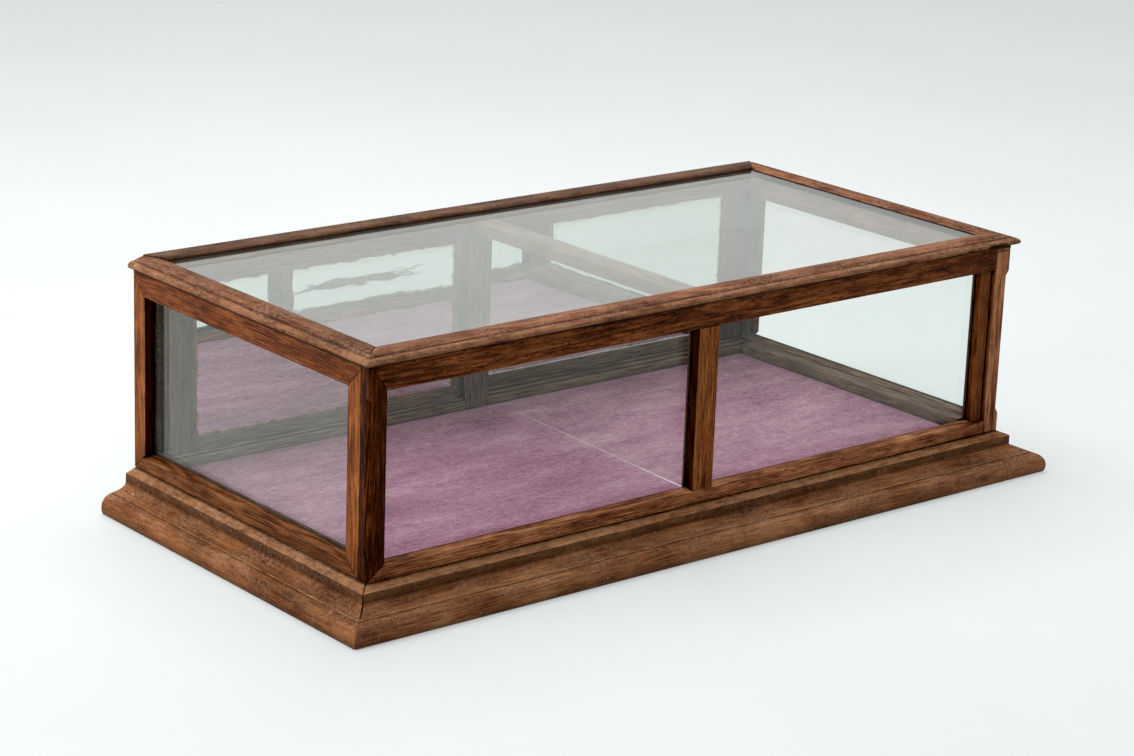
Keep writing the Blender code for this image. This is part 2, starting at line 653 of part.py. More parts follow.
def build_top(front_rail):
    profile = cornice_profile()
    left_corner = (LEFT, FRONT)
    right_corner = (RIGHT, FRONT)
    front_section = [(FRONT - reach, z) for reach, z in profile]
    front = prism(front_section, "X", LEFT - CORNICE_REACH, RIGHT + CORNICE_REACH)
    mitre(front, left_corner, (1, -1))
    piece("cornice_front", mitre(front, right_corner, (-1, -1)), OAK_WARM)
    left = prism([(LEFT - reach, z) for reach, z in profile], "Y", FRONT - CORNICE_REACH, REAR)
    scarf(left, LEFT, 1)
    piece("cornice_left", mitre(left, left_corner, (-1, 1)), OAK_WARM)
    right = prism([(RIGHT + reach, z) for reach, z in profile], "Y", FRONT - CORNICE_REACH, REAR)
    scarf(right, RIGHT, -1)
    piece("cornice_right", mitre(right, right_corner, (1, 1)), OAK_WARM)

    glass_top = FRAME_TOP + GLASS + 2 * FIT
    rail_top = FRAME_TOP + CORNICE_REAR_RISE
    plain = [
        (REAR - CORNICE_REAR_INSET, glass_top),
        (REAR - TOP_GLASS_INSET, glass_top),
        (REAR - TOP_GLASS_INSET, FRAME_TOP + FIT),
        (REAR, FRAME_TOP + FIT),
        (REAR, rail_top),
        (REAR - CORNICE_REAR_INSET, rail_top),
    ]
    rear_rail = prism(eased(plain, 2 * EASE), "X", LEFT, RIGHT)
    scarf(rear_rail, LEFT, 1, outside=False)
    scarf(rear_rail, RIGHT, -1, outside=False)
    piece("cornice_rear", rear_rail, OAK_WARM)

    inset = TOP_GLASS_INSET + FIT
    sheet_low = (LEFT + inset, FRONT + inset, FRAME_TOP + FIT)
    sheet_high = (RIGHT - inset, REAR - inset, FRAME_TOP + FIT + GLASS)
    piece("top_glass", box(sheet_low, sheet_high), CLEAR_GLASS)

    half = MULLION / 2
    bar_front = FRONT + FRONT_DEPTH + FIT
    bar_rear = SILL_FRONT - FIT
    bar_low = (MULLION_X - half, bar_front, FRAME_TOP - CROSS_BAR_HEIGHT)
    cross_bar = piece("top_cross_bar", bar(bar_low, (MULLION_X + half, bar_rear, FRAME_TOP)), OAK_INSIDE)
    head = build_back()
    width = half - TENON_SHOULDER
    tongue_z = FRAME_TOP - HEAD_BOARD / 2
    thin = TENON_THICKNESS / 2
    for rail, start, end, root in (
        (front_rail, bar_front - FIT - TENON_LENGTH, bar_front, TENON_LENGTH),
        (head, bar_rear, bar_rear + FIT + TENON_LENGTH, -TENON_LENGTH),
    ):
        tongue_low = (MULLION_X - width, start, tongue_z - thin)
        tongue_high = (MULLION_X + width, end, tongue_z + thin)
        tenon(cross_bar, rail, tongue_low, tongue_high, (0, root, 0))


def build_back():
    """Sill and head, each with three beads that leave a front and a rear track, and the post between them."""
    sill_high = FRAME_BOTTOM + SILL_BOARD
    head_low = FRAME_TOP - HEAD_BOARD
    post_low = (MULLION_X - REAR_POST / 2, SILL_FRONT, FRAME_BOTTOM)
    post_high = (MULLION_X + REAR_POST / 2, FRONT_TRACK - FIT, head_low - FIT)
    post = piece("rear_post", bar(post_low, post_high), OAK_INSIDE)
    sill_board = bar((INNER_LEFT, SILL_FRONT, FRAME_BOTTOM), (INNER_RIGHT, REAR, sill_high))
    sill = piece("rear_sill", sill_board, OAK_INSIDE)
    housing_low = (post_low[0] - FIT, SILL_FRONT - SILL_LEDGE, 0)
    housing_high = (post_high[0] + FIT, FRONT_TRACK, FRAME_TOP)
    combine(sill, tool("post_housing", box(housing_low, housing_high)), "DIFFERENCE")
    head_board = bar((INNER_LEFT, SILL_FRONT, head_low), (INNER_RIGHT, REAR, FRAME_TOP))
    head = piece("rear_head", head_board, OAK_INSIDE)
    strips = (
        ("front_bead", FRONT_TRACK - TRACK_BEAD, FRONT_TRACK),
        ("parting_bead", FRONT_TRACK + TRACK, REAR_TRACK),
        ("rear_bead", REAR_TRACK + TRACK, REAR),
    )
    slot_front = FRONT_TRACK - TRACK_BEAD - FIT
    for name, low, high in (("foot", sill_high, SILL_TOP + FIT), ("top", HEAD_LOW - FIT, FRAME_TOP)):
        slot = box((post_low[0] - FIT, slot_front, low), (post_high[0] + FIT, FRONT_TRACK, high))
        combine(post, tool("post_slot_" + name, slot), "DIFFERENCE")
    for name, start, end in strips:
        sill_bead = bar((INNER_LEFT, start, sill_high + FIT), (INNER_RIGHT, end, SILL_TOP))
        piece("sill_" + name, sill_bead, OAK_INSIDE)
        head_bead = bar((INNER_LEFT, start, HEAD_LOW), (INNER_RIGHT, end, head_low - FIT))
        piece("head_" + name, head_bead, OAK_INSIDE)
    return head


def build_door(side, left, right, front):
    """A framed mirror door in the frame of an empty at the middle of its foot."""
    frame = empty(side + "_door", ((left + right) / 2, front, DOOR_BOTTOM))
    half = (right - left) / 2
    inner = half - DOOR_STILE
    low = DOOR_BOTTOM_RAIL
    high = DOOR_HEIGHT - DOOR_TOP_RAIL
    named = side + "_door_"
    left_stile = bar((-half, 0, 0), (-inner - FIT, DOOR_THICKNESS, DOOR_HEIGHT))
    right_stile = bar((inner + FIT, 0, 0), (half, DOOR_THICKNESS, DOOR_HEIGHT))
    stiles = (
        piece(named + "left_stile", left_stile, OAK_INSIDE, frame),
        piece(named + "right_stile", right_stile, OAK_INSIDE, frame),
    )
    bottom_rail = bar((-inner, 0, 0), (inner, DOOR_THICKNESS, low))
    bottom = piece(named + "bottom_rail", bottom_rail, OAK_INSIDE, frame)
    top = bar((-inner, 0, high), (inner, DOOR_THICKNESS, DOOR_HEIGHT))
    top_rail = piece(named + "top_rail", top, OAK_INSIDE, frame)

    middle = DOOR_THICKNESS / 2
    thin = DOOR_TENON_THICKNESS / 2
    for rail, foot, head in ((bottom, 0, low), (top_rail, high, DOOR_HEIGHT)):
        for stile, start, end, root in (
            (stiles[0], -inner - DOOR_TENON_LENGTH, -inner, DOOR_TENON_LENGTH),
            (stiles[1], inner, inner + DOOR_TENON_LENGTH, -DOOR_TENON_LENGTH),
        ):
            tongue_low = (start, middle - thin, foot + DOOR_TENON_SHOULDER)
            tongue_high = (end, middle + thin, head - DOOR_TENON_SHOULDER)
            tenon(rail, stile, tongue_low, tongue_high, (root, 0, 0), frame)

    depth = DOOR_BEAD_DEPTH
    bevel = [(depth - DOOR_BEAD_EDGE, DOOR_BEAD_WIDTH), (0, DOOR_BEAD_EDGE)]
    section = [(0, 0), (depth, 0), (depth, DOOR_BEAD_WIDTH)] + bevel
    edge = inner - FIT
    foot = low + FIT
    head = high - FIT
    piece(named + "beads", bead_ring((-edge, foot), (edge, head), section), OAK_INSIDE, frame)
    mirror_front = depth + FIT
    mirror_back = mirror_front + MIRROR
    piece(named + "mirror", box((-edge, mirror_front, foot), (edge, mirror_back, head)), SILVERED, frame)
    board_front = mirror_back + FIT
    board_back = board_front + BACKBOARD
    piece(named + "backboard", box((-edge, board_front, foot), (edge, board_back, head)), DEAL, frame)


def build_doors():
    """Two doors that overlap behind the rear post, the left one in the front track."""
    reach = DOOR_OVERLAP / 2
    left_end = INNER_LEFT + DOOR_CLEARANCE
    right_end = INNER_RIGHT - DOOR_CLEARANCE
    build_door("left", left_end, MULLION_X + reach, FRONT_TRACK + DOOR_CLEARANCE)
    build_door("right", MULLION_X - reach, right_end, REAR_TRACK + DOOR_CLEARANCE)


build_base()
build_floor()
front_top_rail = build_front()
build_ends()
build_top(front_top_rail)
build_doors()
bpy.context.view_layer.update()
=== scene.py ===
"""Looks of the countertop display case: worn oak, old glass and mirrors, and a plum cloth lining."""

from dataclasses import dataclass
from math import cos, pi, radians, sin

import bmesh
import bpy
from mathutils import Matrix, Vector, noise


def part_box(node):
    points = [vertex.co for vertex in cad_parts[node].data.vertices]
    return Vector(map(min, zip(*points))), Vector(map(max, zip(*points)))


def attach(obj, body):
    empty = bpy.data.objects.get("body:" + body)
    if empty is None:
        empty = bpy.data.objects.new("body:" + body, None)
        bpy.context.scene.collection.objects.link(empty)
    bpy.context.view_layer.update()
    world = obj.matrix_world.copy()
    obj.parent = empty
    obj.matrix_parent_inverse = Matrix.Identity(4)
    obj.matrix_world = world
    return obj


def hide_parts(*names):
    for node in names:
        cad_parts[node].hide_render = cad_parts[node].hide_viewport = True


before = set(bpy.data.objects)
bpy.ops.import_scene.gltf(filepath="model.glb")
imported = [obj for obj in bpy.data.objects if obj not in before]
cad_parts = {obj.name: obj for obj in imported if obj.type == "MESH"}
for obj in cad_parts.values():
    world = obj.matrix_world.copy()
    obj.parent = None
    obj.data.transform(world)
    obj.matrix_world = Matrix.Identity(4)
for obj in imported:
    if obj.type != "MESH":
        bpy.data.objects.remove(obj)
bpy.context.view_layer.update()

MM = 0.001

# Planes of the case, read from the frame
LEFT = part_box("left_bottom_rail")[0].x
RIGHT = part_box("right_bottom_rail")[1].x
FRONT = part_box("front_bottom_rail")[0].y
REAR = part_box("left_bottom_rail")[1].y
FRAME_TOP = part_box("front_top_rail")[1].z
JOINT_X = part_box("base_right_return")[0].x
GLASS_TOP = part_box("top_glass")[1].z
REAR_RAIL_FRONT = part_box("cornice_rear")[0].y
CLOTH_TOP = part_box("lining_left")[1].z

# Camera of the photograph, which is 1134 by 756 pixels
CAMERA_PLACE = (-2.5714, -3.0281, 1.3736)
CAMERA_TURN = -39.773
CAMERA_TILT = 73.067
CAMERA_ROLL = 2.11
CAMERA_LENS = 95.83
CAMERA_SENSOR = 36.0

# Base moulding: reaches out from the body's face, and heights from the table
BASE_HEIGHT = 57.0 * MM
BASE_BOARD = 20.0 * MM
BASE_REACH = 53.2 * MM
BASE_FOOT_REACH = 50.0 * MM
BASE_NOSE_HEIGHT = 9.0 * MM
BASE_STEP_REACH = 36.5 * MM
BASE_STEP_HEIGHT = 27.0 * MM
BASE_STEP = 1.2 * MM
BASE_COVE_TOP = 39.5 * MM
BASE_LEDGE_REACH = 13.6 * MM
BASE_LEDGE_HEIGHT = 52.0 * MM
BASE_EDGE = 1.5 * MM
FLOOR_REBATE = 8.0 * MM
FLOOR_DROP = 12.3 * MM

# Cornice: reaches out from the body's face, and heights from the top of the frames
CORNICE_REACH = 10.0 * MM
CORNICE_DROP = 5.0 * MM
CORNICE_NOSE_DROP = 1.5 * MM
CORNICE_QUIRK_REACH = 1.0 * MM
CORNICE_QUIRK_RISE = 5.0 * MM
CORNICE_QUIRK = 1.0 * MM
CORNICE_CREST_SET = 14.0 * MM
CORNICE_RISE = 9.5 * MM
CORNICE_INSET = 34.0 * MM
CORNICE_EDGE = 1.2 * MM
CORNICE_SWELL = 0.8 * MM
NOSE_UNDERCUT = 60
RAIL_ROUND = 9.0 * MM
RAIL_EDGE = 1.5 * MM
TOP_GLASS_INSET = 24.0 * MM
GLASS_GAP = 0.3 * MM

# How the mouldings are meshed and worn
ARC_STEPS = 18
FOOT_STEPS = 6
EDGE_STEPS = 4
EDGE_TURN = 75
UNDERCUT_STEPS = 5
SMOOTH_ANGLE = 35
SECTION_STEP = 5.0 * MM
JOINT_GAP = 0.35 * MM
END_SECTIONS = (0.0, 0.7 * MM, 2.0 * MM)
END_EASE = 0.9 * MM
TURN_REACH = 1.0 * MM
ROUGHENING = 0.15 * MM
ROUGH_SCALE = 13
DENT_DEPTH = 1.2 * MM
DENT_BEND = 0.25
FLAT_FOOT = 0.1 * MM
RUB_ALONG = 9
RUB_ROUND = 30
RUB_SEED = 7
RUB_DETAIL = 4
RUB_DETAIL_SHARE = 0.6
RUB_START = 0.12
RUB_WEAR = 0.3
CHIP_DEPTH = 14.0 * MM
CHIP_LIMIT = 6.0 * MM
CHIP_FADE = 30.0 * MM
CHIP_EDGE = 1.0 * MM
CHIP_COARSE = 75
CHIP_COARSE_SEED = 0.4
CHIP_FINE = 260
CHIP_FINE_SEED = 3.4
CHIP_FINE_SHARE = 0.5
CHIP_BIAS = 0.05
SEAM_LINE = 2.0 * MM
COVE_SHADOW = 36.0 * MM
FOOT_SHADOW = 13.0 * MM
ARRIS = 2.5 * MM
BEND_START = 0.3
BEND_WEAR = 1.2
# Wear, with a painted highlight on the base's ledge; dirt and darker lines; and painted shade under the
# base's ledge and along its foot
LEDGE_WEAR_AND_HIGHLIGHT = 0.5
ARRIS_WEAR = 0.9
NOSE_WEAR = 0.3
COVE_SHADE = 0.6
STEP_DARKENING = 0.5
FOOT_SHADE = 0.6
QUIRK_DARKENING = 0.6
GLASS_DIRT = 0.7


def srgb(red, green, blue):
    """A colour written as it looks on a screen, as the linear values that shaders use."""
    shares = [channel / 255 for channel in (red, green, blue)]
    return tuple(s / 12.92 if s <= 0.04045 else ((s + 0.055) / 1.055) ** 2.4 for s in shares)


# Tones of the wood: in the pores, between them, and on the lightest flecks
DARK_OAK = (srgb(16, 5, 2), srgb(46, 17, 6), srgb(94, 46, 18))
WARM_OAK = (srgb(38, 16, 8), srgb(91, 46, 22), srgb(132, 78, 43))
HONEY_OAK = (srgb(44, 19, 8), srgb(104, 55, 25), srgb(150, 92, 49))
SHADED_OAK = (srgb(36, 17, 8), srgb(86, 48, 25), srgb(128, 82, 48))
CORNICE_OAK = (srgb(46, 23, 14), srgb(97, 58, 40), srgb(137, 93, 68))
# A darker copy of the cornice's oak for its sides, as painted shade
SIDE_CORNICE_SHADED_OAK = (srgb(40, 19, 11), srgb(84, 48, 30), srgb(122, 80, 54))
RAIL_OAK = (srgb(34, 21, 14), srgb(72, 49, 36), srgb(100, 74, 57))
POST_OAK = (srgb(56, 26, 14), srgb(124, 72, 46), srgb(176, 122, 84))
# One oak for the base in two copies: lighter for the front and darker for the sides, as painted light
# and shade
FRONT_BASE_LIT_OAK = (srgb(56, 31, 18), srgb(112, 69, 43), srgb(160, 112, 75))
SIDE_BASE_SHADED_OAK = (srgb(48, 25, 12), srgb(97, 56, 30), srgb(136, 88, 51))
INSIDE_OAK = (srgb(50, 37, 29), srgb(92, 71, 57), srgb(126, 104, 87))
SILL_OAK = (srgb(54, 39, 29), srgb(104, 82, 66), srgb(140, 116, 96))
DOOR_OAK = (srgb(30, 19, 13), srgb(66, 45, 33), srgb(98, 72, 56))
DEAL = (srgb(70, 47, 29), srgb(116, 85, 56), srgb(146, 113, 78))
# Tone of grime and dark joints, and of painted shade
SHADE_AND_GRIME = srgb(16, 8, 4)
# Tone of worn wood, and of the painted highlight on the base's ledge
WORN_AND_HIGHLIGHT = srgb(178, 132, 94)
DUST = srgb(162, 128, 104)
SPECKS = srgb(206, 180, 150)

# Colours of cloth, glass and mirrors
LINT = srgb(214, 200, 208)
CRUMBS = srgb(56, 38, 44)
SHEEN = srgb(220, 186, 210)
GLASS_TINT = srgb(252, 254, 253)
GLASS_GLOSS = (0.97, 0.98, 0.94)
GLASS_DUST = srgb(214, 222, 216)
SILVER = srgb(222, 234, 228)
STAINED_SILVER = srgb(226, 214, 176)
BARE_DARK = srgb(60, 62, 58)
BARE_LIGHT = srgb(122, 120, 108)


class Graph:
    """The node tree of one material or world, built up by short calls."""

    def __init__(self, name, kind="materials"):
        self.block = getattr(bpy.data, kind).new(name)
        self.block.use_nodes = True
        self.tree = self.block.node_tree
        self.tree.nodes.clear()

    def put(self, socket, value):
        """Give a socket another node's output, a number, a colour or a vector."""
        if isinstance(value, bpy.types.NodeSocket):
            self.tree.links.new(value, socket)
        elif socket.type == "RGBA":
            socket.default_value = (*value, 1)
        else:
            socket.default_value = value

    def node(self, kind, settings=(), **inputs):
        """A node with its settings, and its inputs by name with _ for a space."""
        made = self.tree.nodes.new(kind)
        for key, value in dict(settings).items():
            setattr(made, key, value)
        for key, value in inputs.items():
            self.put(made.inputs[key.replace("_", " ")], value)
        return made

    def math(self, operation, first, second=0.0, clamped=False):
        made = self.node("ShaderNodeMath", {"operation": operation, "use_clamp": clamped})
        self.put(made.inputs[0], first)
        self.put(made.inputs[1], second)
        return made.outputs[0]

    def times(self, *values):
        """The product of several values."""
        product = values[0]
        for value in values[1:]:
            product = self.math("MULTIPLY", product, value)
        return product

    def sway(self, *terms):
        """A half, moved up and down by values about a half, each with its weight."""
        total = 0.5
        for value, weight in terms:
            total = self.math("ADD", total, self.times(self.math("SUBTRACT", value, 0.5), weight))
        return total

    def vector(self, operation, first, second=(0, 0, 0)):
        made = self.node("ShaderNodeVectorMath", {"operation": operation})
        self.put(made.inputs[0], first)
        self.put(made.inputs[1], second)
        return made.outputs["Value" if operation in ("LENGTH", "DOT_PRODUCT") else "Vector"]

    def noise(self, vector, scale, detail=3.0, roughness=0.55, output="Fac"):
        inputs = {"Vector": vector, "Scale": scale, "Detail": detail, "Roughness": roughness}
        return self.node("ShaderNodeTexNoise", **inputs).outputs[output]

    def span(self, value, low, high, to_low=0.0, to_high=1.0):
        """A value taken smoothly from one range to another, and held at its ends."""
        made = self.node("ShaderNodeMapRange", {"interpolation_type": "SMOOTHSTEP"}, Value=value)
        for socket, number in zip(made.inputs[1:5], (low, high, to_low, to_high)):
            socket.default_value = number
        return made.outputs["Result"]

    def ramp(self, value, *stops):
        """Colours at places between 0 and 1."""
        made = self.node("ShaderNodeValToRGB", Fac=value)
        elements = made.color_ramp.elements
        while len(elements) < len(stops):
            elements.new(1.0)
        for element, (place, colour) in zip(elements, stops):
            element.position = place
            element.color = (*colour, 1)
        return made.outputs["Color"]

    def mix(self, share, first, second):
        """Two colours mixed, with the share of the second."""
        made = self.node("ShaderNodeMix", {"data_type": "RGBA"})
        self.put(made.inputs["Factor"], share)
        self.put(made.inputs[6], first)
        self.put(made.inputs[7], second)
        return made.outputs[2]

    def blend(self, share, first, second):
        """Two shaders mixed, with the share of the second."""
        made = self.node("ShaderNodeMixShader", Fac=share)
        self.put(made.inputs[1], first)
        self.put(made.inputs[2], second)
        return made.outputs[0]

    def place(self):
        return self.node("ShaderNodeTexCoord").outputs["Object"]

    def attribute(self, name):
        return self.node("ShaderNodeAttribute", {"attribute_name": name}).outputs["Fac"]

    def normal(self):
        return self.node("ShaderNodeNewGeometry").outputs["Normal"]

    def bump(self, height, strength, distance):
        inputs = {"Height": height, "Strength": strength, "Distance": distance}
        return self.node("ShaderNodeBump", **inputs).outputs["Normal"]

    def surface(self, shader):
        """The finished material, with this shader as its surface."""
        self.node("ShaderNodeOutputMaterial", Surface=shader)
        return self.block

    def principled(self, **inputs):
        return self.node("ShaderNodeBsdfPrincipled", **inputs).outputs["BSDF"]


AXES = {"X": Vector((1, 0, 0)), "Y": Vector((0, 1, 0)), "Z": Vector((0, 0, 1))}
HALF = (0.5, 0.5, 0.5)
RING = 2.6 * MM
RING_WANDER = 0.03
PORE_DEPTH = 0.25 * MM
MITRE = 42.0 * MM
BUTT = 5.0 * MM
JOINT_FADE = 3 * MM
EDGE_RADIUS = 2.0 * MM
# Reach of the ambient occlusion that paints shade into recesses
RECESS_SHADE_REACH = 9 * MM
# How dark painted shade is on faces that look towards shade and on wood under a cornice, and the soft
# edge of that band
SHADE_DARK = 0.88
BAND_DARK = 0.9
BAND_BELOW = 2 * MM
BAND_ABOVE = 1 * MM
FLAKE_SPREAD = 26 * MM
FLAKE_START = 8.6 * MM
FLAKE_END = 8.0 * MM
STAIN_REACH = 13 * MM


@dataclass(frozen=True)
class Wood:
    """One piece of wood: tones, grain axis, the log's heart from its middle, and how far traits show.

    Joint is how far from its ends the edges belong to joints, which are dark where free edges are worn.
    Faces that look towards shade are nearly black, and so is all wood higher than band, as painted shade
    under a cornice.
    """

    tones: tuple
    along: str
    pith: tuple
    wear: float = 0.5
    figure: float = 0.2
    fleck: float = 0.4
    dust: float = 0.0
    grain: float = 0.8
    # How strongly grime, dark joints and painted shade darken the wood's dark places
    grime_and_shade: float = 1.0
    joint: float = BUTT
    shade: tuple = None
    band: float = None


def edge_mask(g, radius):
    """Where a solid turns a sharp corner, from the normals of its rounded edges."""
    rounded = g.node("ShaderNodeBevel", {"samples": 4}, Radius=radius).outputs["Normal"]
    turned = g.math("SUBTRACT", 1.0, g.vector("DOT_PRODUCT", rounded, g.normal()))
    return g.span(turned, 0.01, 0.2)


def edges_of(g, place, low, high, axis, joint):
    """Worn edges of a plain bar, and its dark places: dark joints, and painted shade in its recesses.
    Edges near its ends are joints, so they are dark with dirt.
    """
    rim = edge_mask(g, EDGE_RADIUS)
    half = (high - low).dot(axis) / 2
    reach = g.math("ABSOLUTE", g.vector("DOT_PRODUCT", place, axis))
    free = g.span(reach, half - joint, half - joint - JOINT_FADE)
    # Painted shade in recesses, from ambient occlusion
    recess_shade = g.node("ShaderNodeAmbientOcclusion", {"samples": 4}, Distance=RECESS_SHADE_REACH).outputs["AO"]
    seam = g.times(rim, g.math("SUBTRACT", 1.0, free))
    return g.times(rim, free), g.math("MAXIMUM", g.span(recess_shade, 0.86, 0.4), seam)


def oak(node, wood, attributes=False):
    """Stained oak or deal with growth rings, short dark and light flecks, worn edges, dirt, dust and
    painted shade.

    A moulding gives its worn places, with a painted highlight on the base's ledge, and its places of
    dirt and painted shade as attributes, and a plain bar has its edges found here.
    """
    g = Graph(node + "_wood")
    axis = AXES[wood.along]
    across = Vector((1, 1, 1)) - axis
    low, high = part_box(node)
    place = g.vector("SUBTRACT", g.place(), (low + high) / 2)

    def grained(share, shift=0.0):
        """Coordinates in which spots come out 1 / share times as long as they are wide."""
        moved = g.vector("ADD", place, (shift, shift, shift))
        return g.vector("MULTIPLY", moved, across + axis * share)

    wander = g.vector("SUBTRACT", g.noise(grained(0.12), 16, 3, output="Color"), HALF)
    bent = g.vector("ADD", grained(0.0), g.vector("MULTIPLY", wander, across * RING_WANDER))
    rings = g.math("DIVIDE", g.vector("LENGTH", g.vector("SUBTRACT", bent, wood.pith)), RING)
    turn = g.math("FRACT", rings)
    band = g.times(g.span(turn, 0.0, 0.6), g.span(turn, 0.8, 1.0, 1.0, 0.0))
    fine = g.noise(grained(0.05), 560, 4, 0.6)
    streak = g.noise(grained(0.1, 1.7), 240, 4, 0.65)
    blotch = g.noise(grained(0.35, 3.1), 26, 5, 0.65)
    tone = g.sway((band, wood.figure), (fine, wood.grain), (streak, wood.grain), (blotch, 0.8))
    colour = g.ramp(tone, (0.25, wood.tones[0]), (0.5, wood.tones[1]), (0.78, wood.tones[2]))
    dark = g.times(g.span(g.noise(grained(0.28, 5.3), 380, 3, 0.6), 0.54, 0.66), wood.fleck)
    colour = g.mix(dark, colour, wood.tones[0])
    light = g.times(g.span(g.noise(grained(0.24, 7.9), 340, 3, 0.6), 0.58, 0.7), wood.fleck * 0.7)
    colour = g.mix(light, colour, wood.tones[2])

    # A moulding's wear includes a painted highlight on the base's ledge, and its soiled places include
    # painted shade
    if attributes:
        edges, corner = g.attribute("wear"), g.attribute("soil_and_shade")
    else:
        edges, corner = edges_of(g, place, low, high, axis, wood.joint)
    # Worn places are lighter, and so is the base's ledge, with a painted highlight
    rubbed = g.span(g.noise(grained(0.5, 2.3), 120, 5, 0.75), 0.35, 0.65)
    worn = g.times(edges, rubbed, wood.wear)
    colour = g.mix(worn, colour, WORN_AND_HIGHLIGHT)
    # Dark joints, grime, and painted shade in recesses, under the nose and ledge and along the base's
    # foot
    grime_and_shade_share = g.times(corner, g.span(g.noise(place, 40, 3), 0.25, 0.6, 0.75, 1.0), wood.grime_and_shade)
    colour = g.mix(grime_and_shade_share, colour, SHADE_AND_GRIME)
    if wood.shade:
        facing = g.span(g.vector("DOT_PRODUCT", g.normal(), wood.shade), 0.6, 0.95, 0.0, SHADE_DARK)
        colour = g.mix(facing, colour, SHADE_AND_GRIME)
    # Painted shade under a cornice: wood higher than the band is dark
    if wood.band:
        above = g.node("ShaderNodeSeparateXYZ", Vector=g.place()).outputs["Z"]
        under = g.span(above, wood.band - BAND_BELOW, wood.band + BAND_ABOVE, 0.0, BAND_DARK)
        colour = g.mix(under, colour, SHADE_AND_GRIME)
    if wood.dust:
        rise = g.node("ShaderNodeSeparateXYZ", Vector=g.normal()).outputs["Z"]
        up = g.span(rise, 0.05, 0.95, 0.3, 1.0)
        mottled = g.span(g.noise(place, 240, 5, 0.7), 0.38, 0.66)
        stained = g.span(g.noise(place, 13, 5, 0.65), 0.38, 0.58, 0.15, 1.0)
        colour = g.mix(g.times(up, mottled, stained, wood.dust), colour, DUST)
        small = g.span(g.noise(place, 420, 1), 0.73, 0.78)
        large = g.span(g.noise(place, 120, 2), 0.75, 0.78)
        specks = g.times(g.math("MAXIMUM", small, large), wood.dust)
        colour = g.mix(specks, colour, SPECKS)

    rough = g.span(streak, 0.3, 0.7, 0.45 + 0.2 * wood.dust, 0.65 + 0.2 * wood.dust)
    height = g.math("SUBTRACT", g.times(fine, 0.6), dark)
    shader = g.principled(
        Base_Color=colour,
        Roughness=rough,
        Normal=g.bump(height, 0.4, PORE_DEPTH),
        Specular_IOR_Level=0.08,
    )
    return g.surface(shader)


def cloth(name, tones, lean):
    """Plum velvet with brushed streaks, lint, crumbs and a fine pile. Lean turns the streaks in plan."""
    g = Graph(name)
    place = g.place()
    leaning = g.node("ShaderNodeMapping", Vector=place, Rotation=(0, 0, lean), Scale=(1, 3.2, 1))
    turned = leaning.outputs[0]
    broad = g.noise(turned, 8, 4, 0.6)
    brushed = g.noise(turned, 70, 5, 0.7)
    pile = g.noise(g.vector("MULTIPLY", turned, (1, 0.5, 1)), 300, 3, 0.6)
    tone = g.sway((broad, 0.6), (brushed, 0.7), (pile, 0.5))
    colour = g.ramp(tone, (0.3, tones[0]), (0.5, tones[1]), (0.7, tones[2]))
    lint = g.span(g.noise(place, 260, 1), 0.775, 0.79)
    colour = g.mix(lint, colour, LINT)
    crumbs = g.span(g.noise(g.vector("ADD", place, (3, 5, 0)), 190, 1), 0.79, 0.8)
    colour = g.mix(crumbs, colour, CRUMBS)
    shader = g.principled(
        Base_Color=colour,
        Roughness=g.span(brushed, 0.3, 0.7, 0.78, 0.95),
        Normal=g.bump(pile, 0.3, 0.5 * MM),
        Sheen_Weight=0.3,
        Sheen_Roughness=0.45,
        Sheen_Tint=SHEEN,
        Specular_IOR_Level=0.2,
    )
    return g.surface(shader)


def glass(name, haze, gleam):
    """Old sheet glass: clear head on, brighter at a slant, with a film of dust."""
    g = Graph(name)
    place = g.place()
    slant = g.node("ShaderNodeLayerWeight", Blend=0.5).outputs["Facing"]
    shine = g.times(g.math("ADD", g.times(g.math("POWER", slant, 5.0), 0.957), 0.043), gleam)
    wave = g.bump(g.noise(place, 5, 1), 1.0, 0.35 * MM)
    clear = g.node("ShaderNodeBsdfTransparent", Color=GLASS_TINT).outputs[0]
    gloss = g.node("ShaderNodeBsdfGlossy", Color=GLASS_GLOSS, Roughness=0.03, Normal=wave).outputs[0]
    film = g.span(g.noise(place, 14, 6, 0.7), 0.3, 0.75, haze * 0.5, haze * 1.6)
    specks = g.times(g.span(g.noise(place, 420, 1), 0.76, 0.79), 0.3)
    dust = g.node("ShaderNodeBsdfDiffuse", Color=GLASS_DUST).outputs[0]
    return g.surface(g.blend(g.math("MAXIMUM", film, specks), g.blend(shine, clear, gloss), dust))


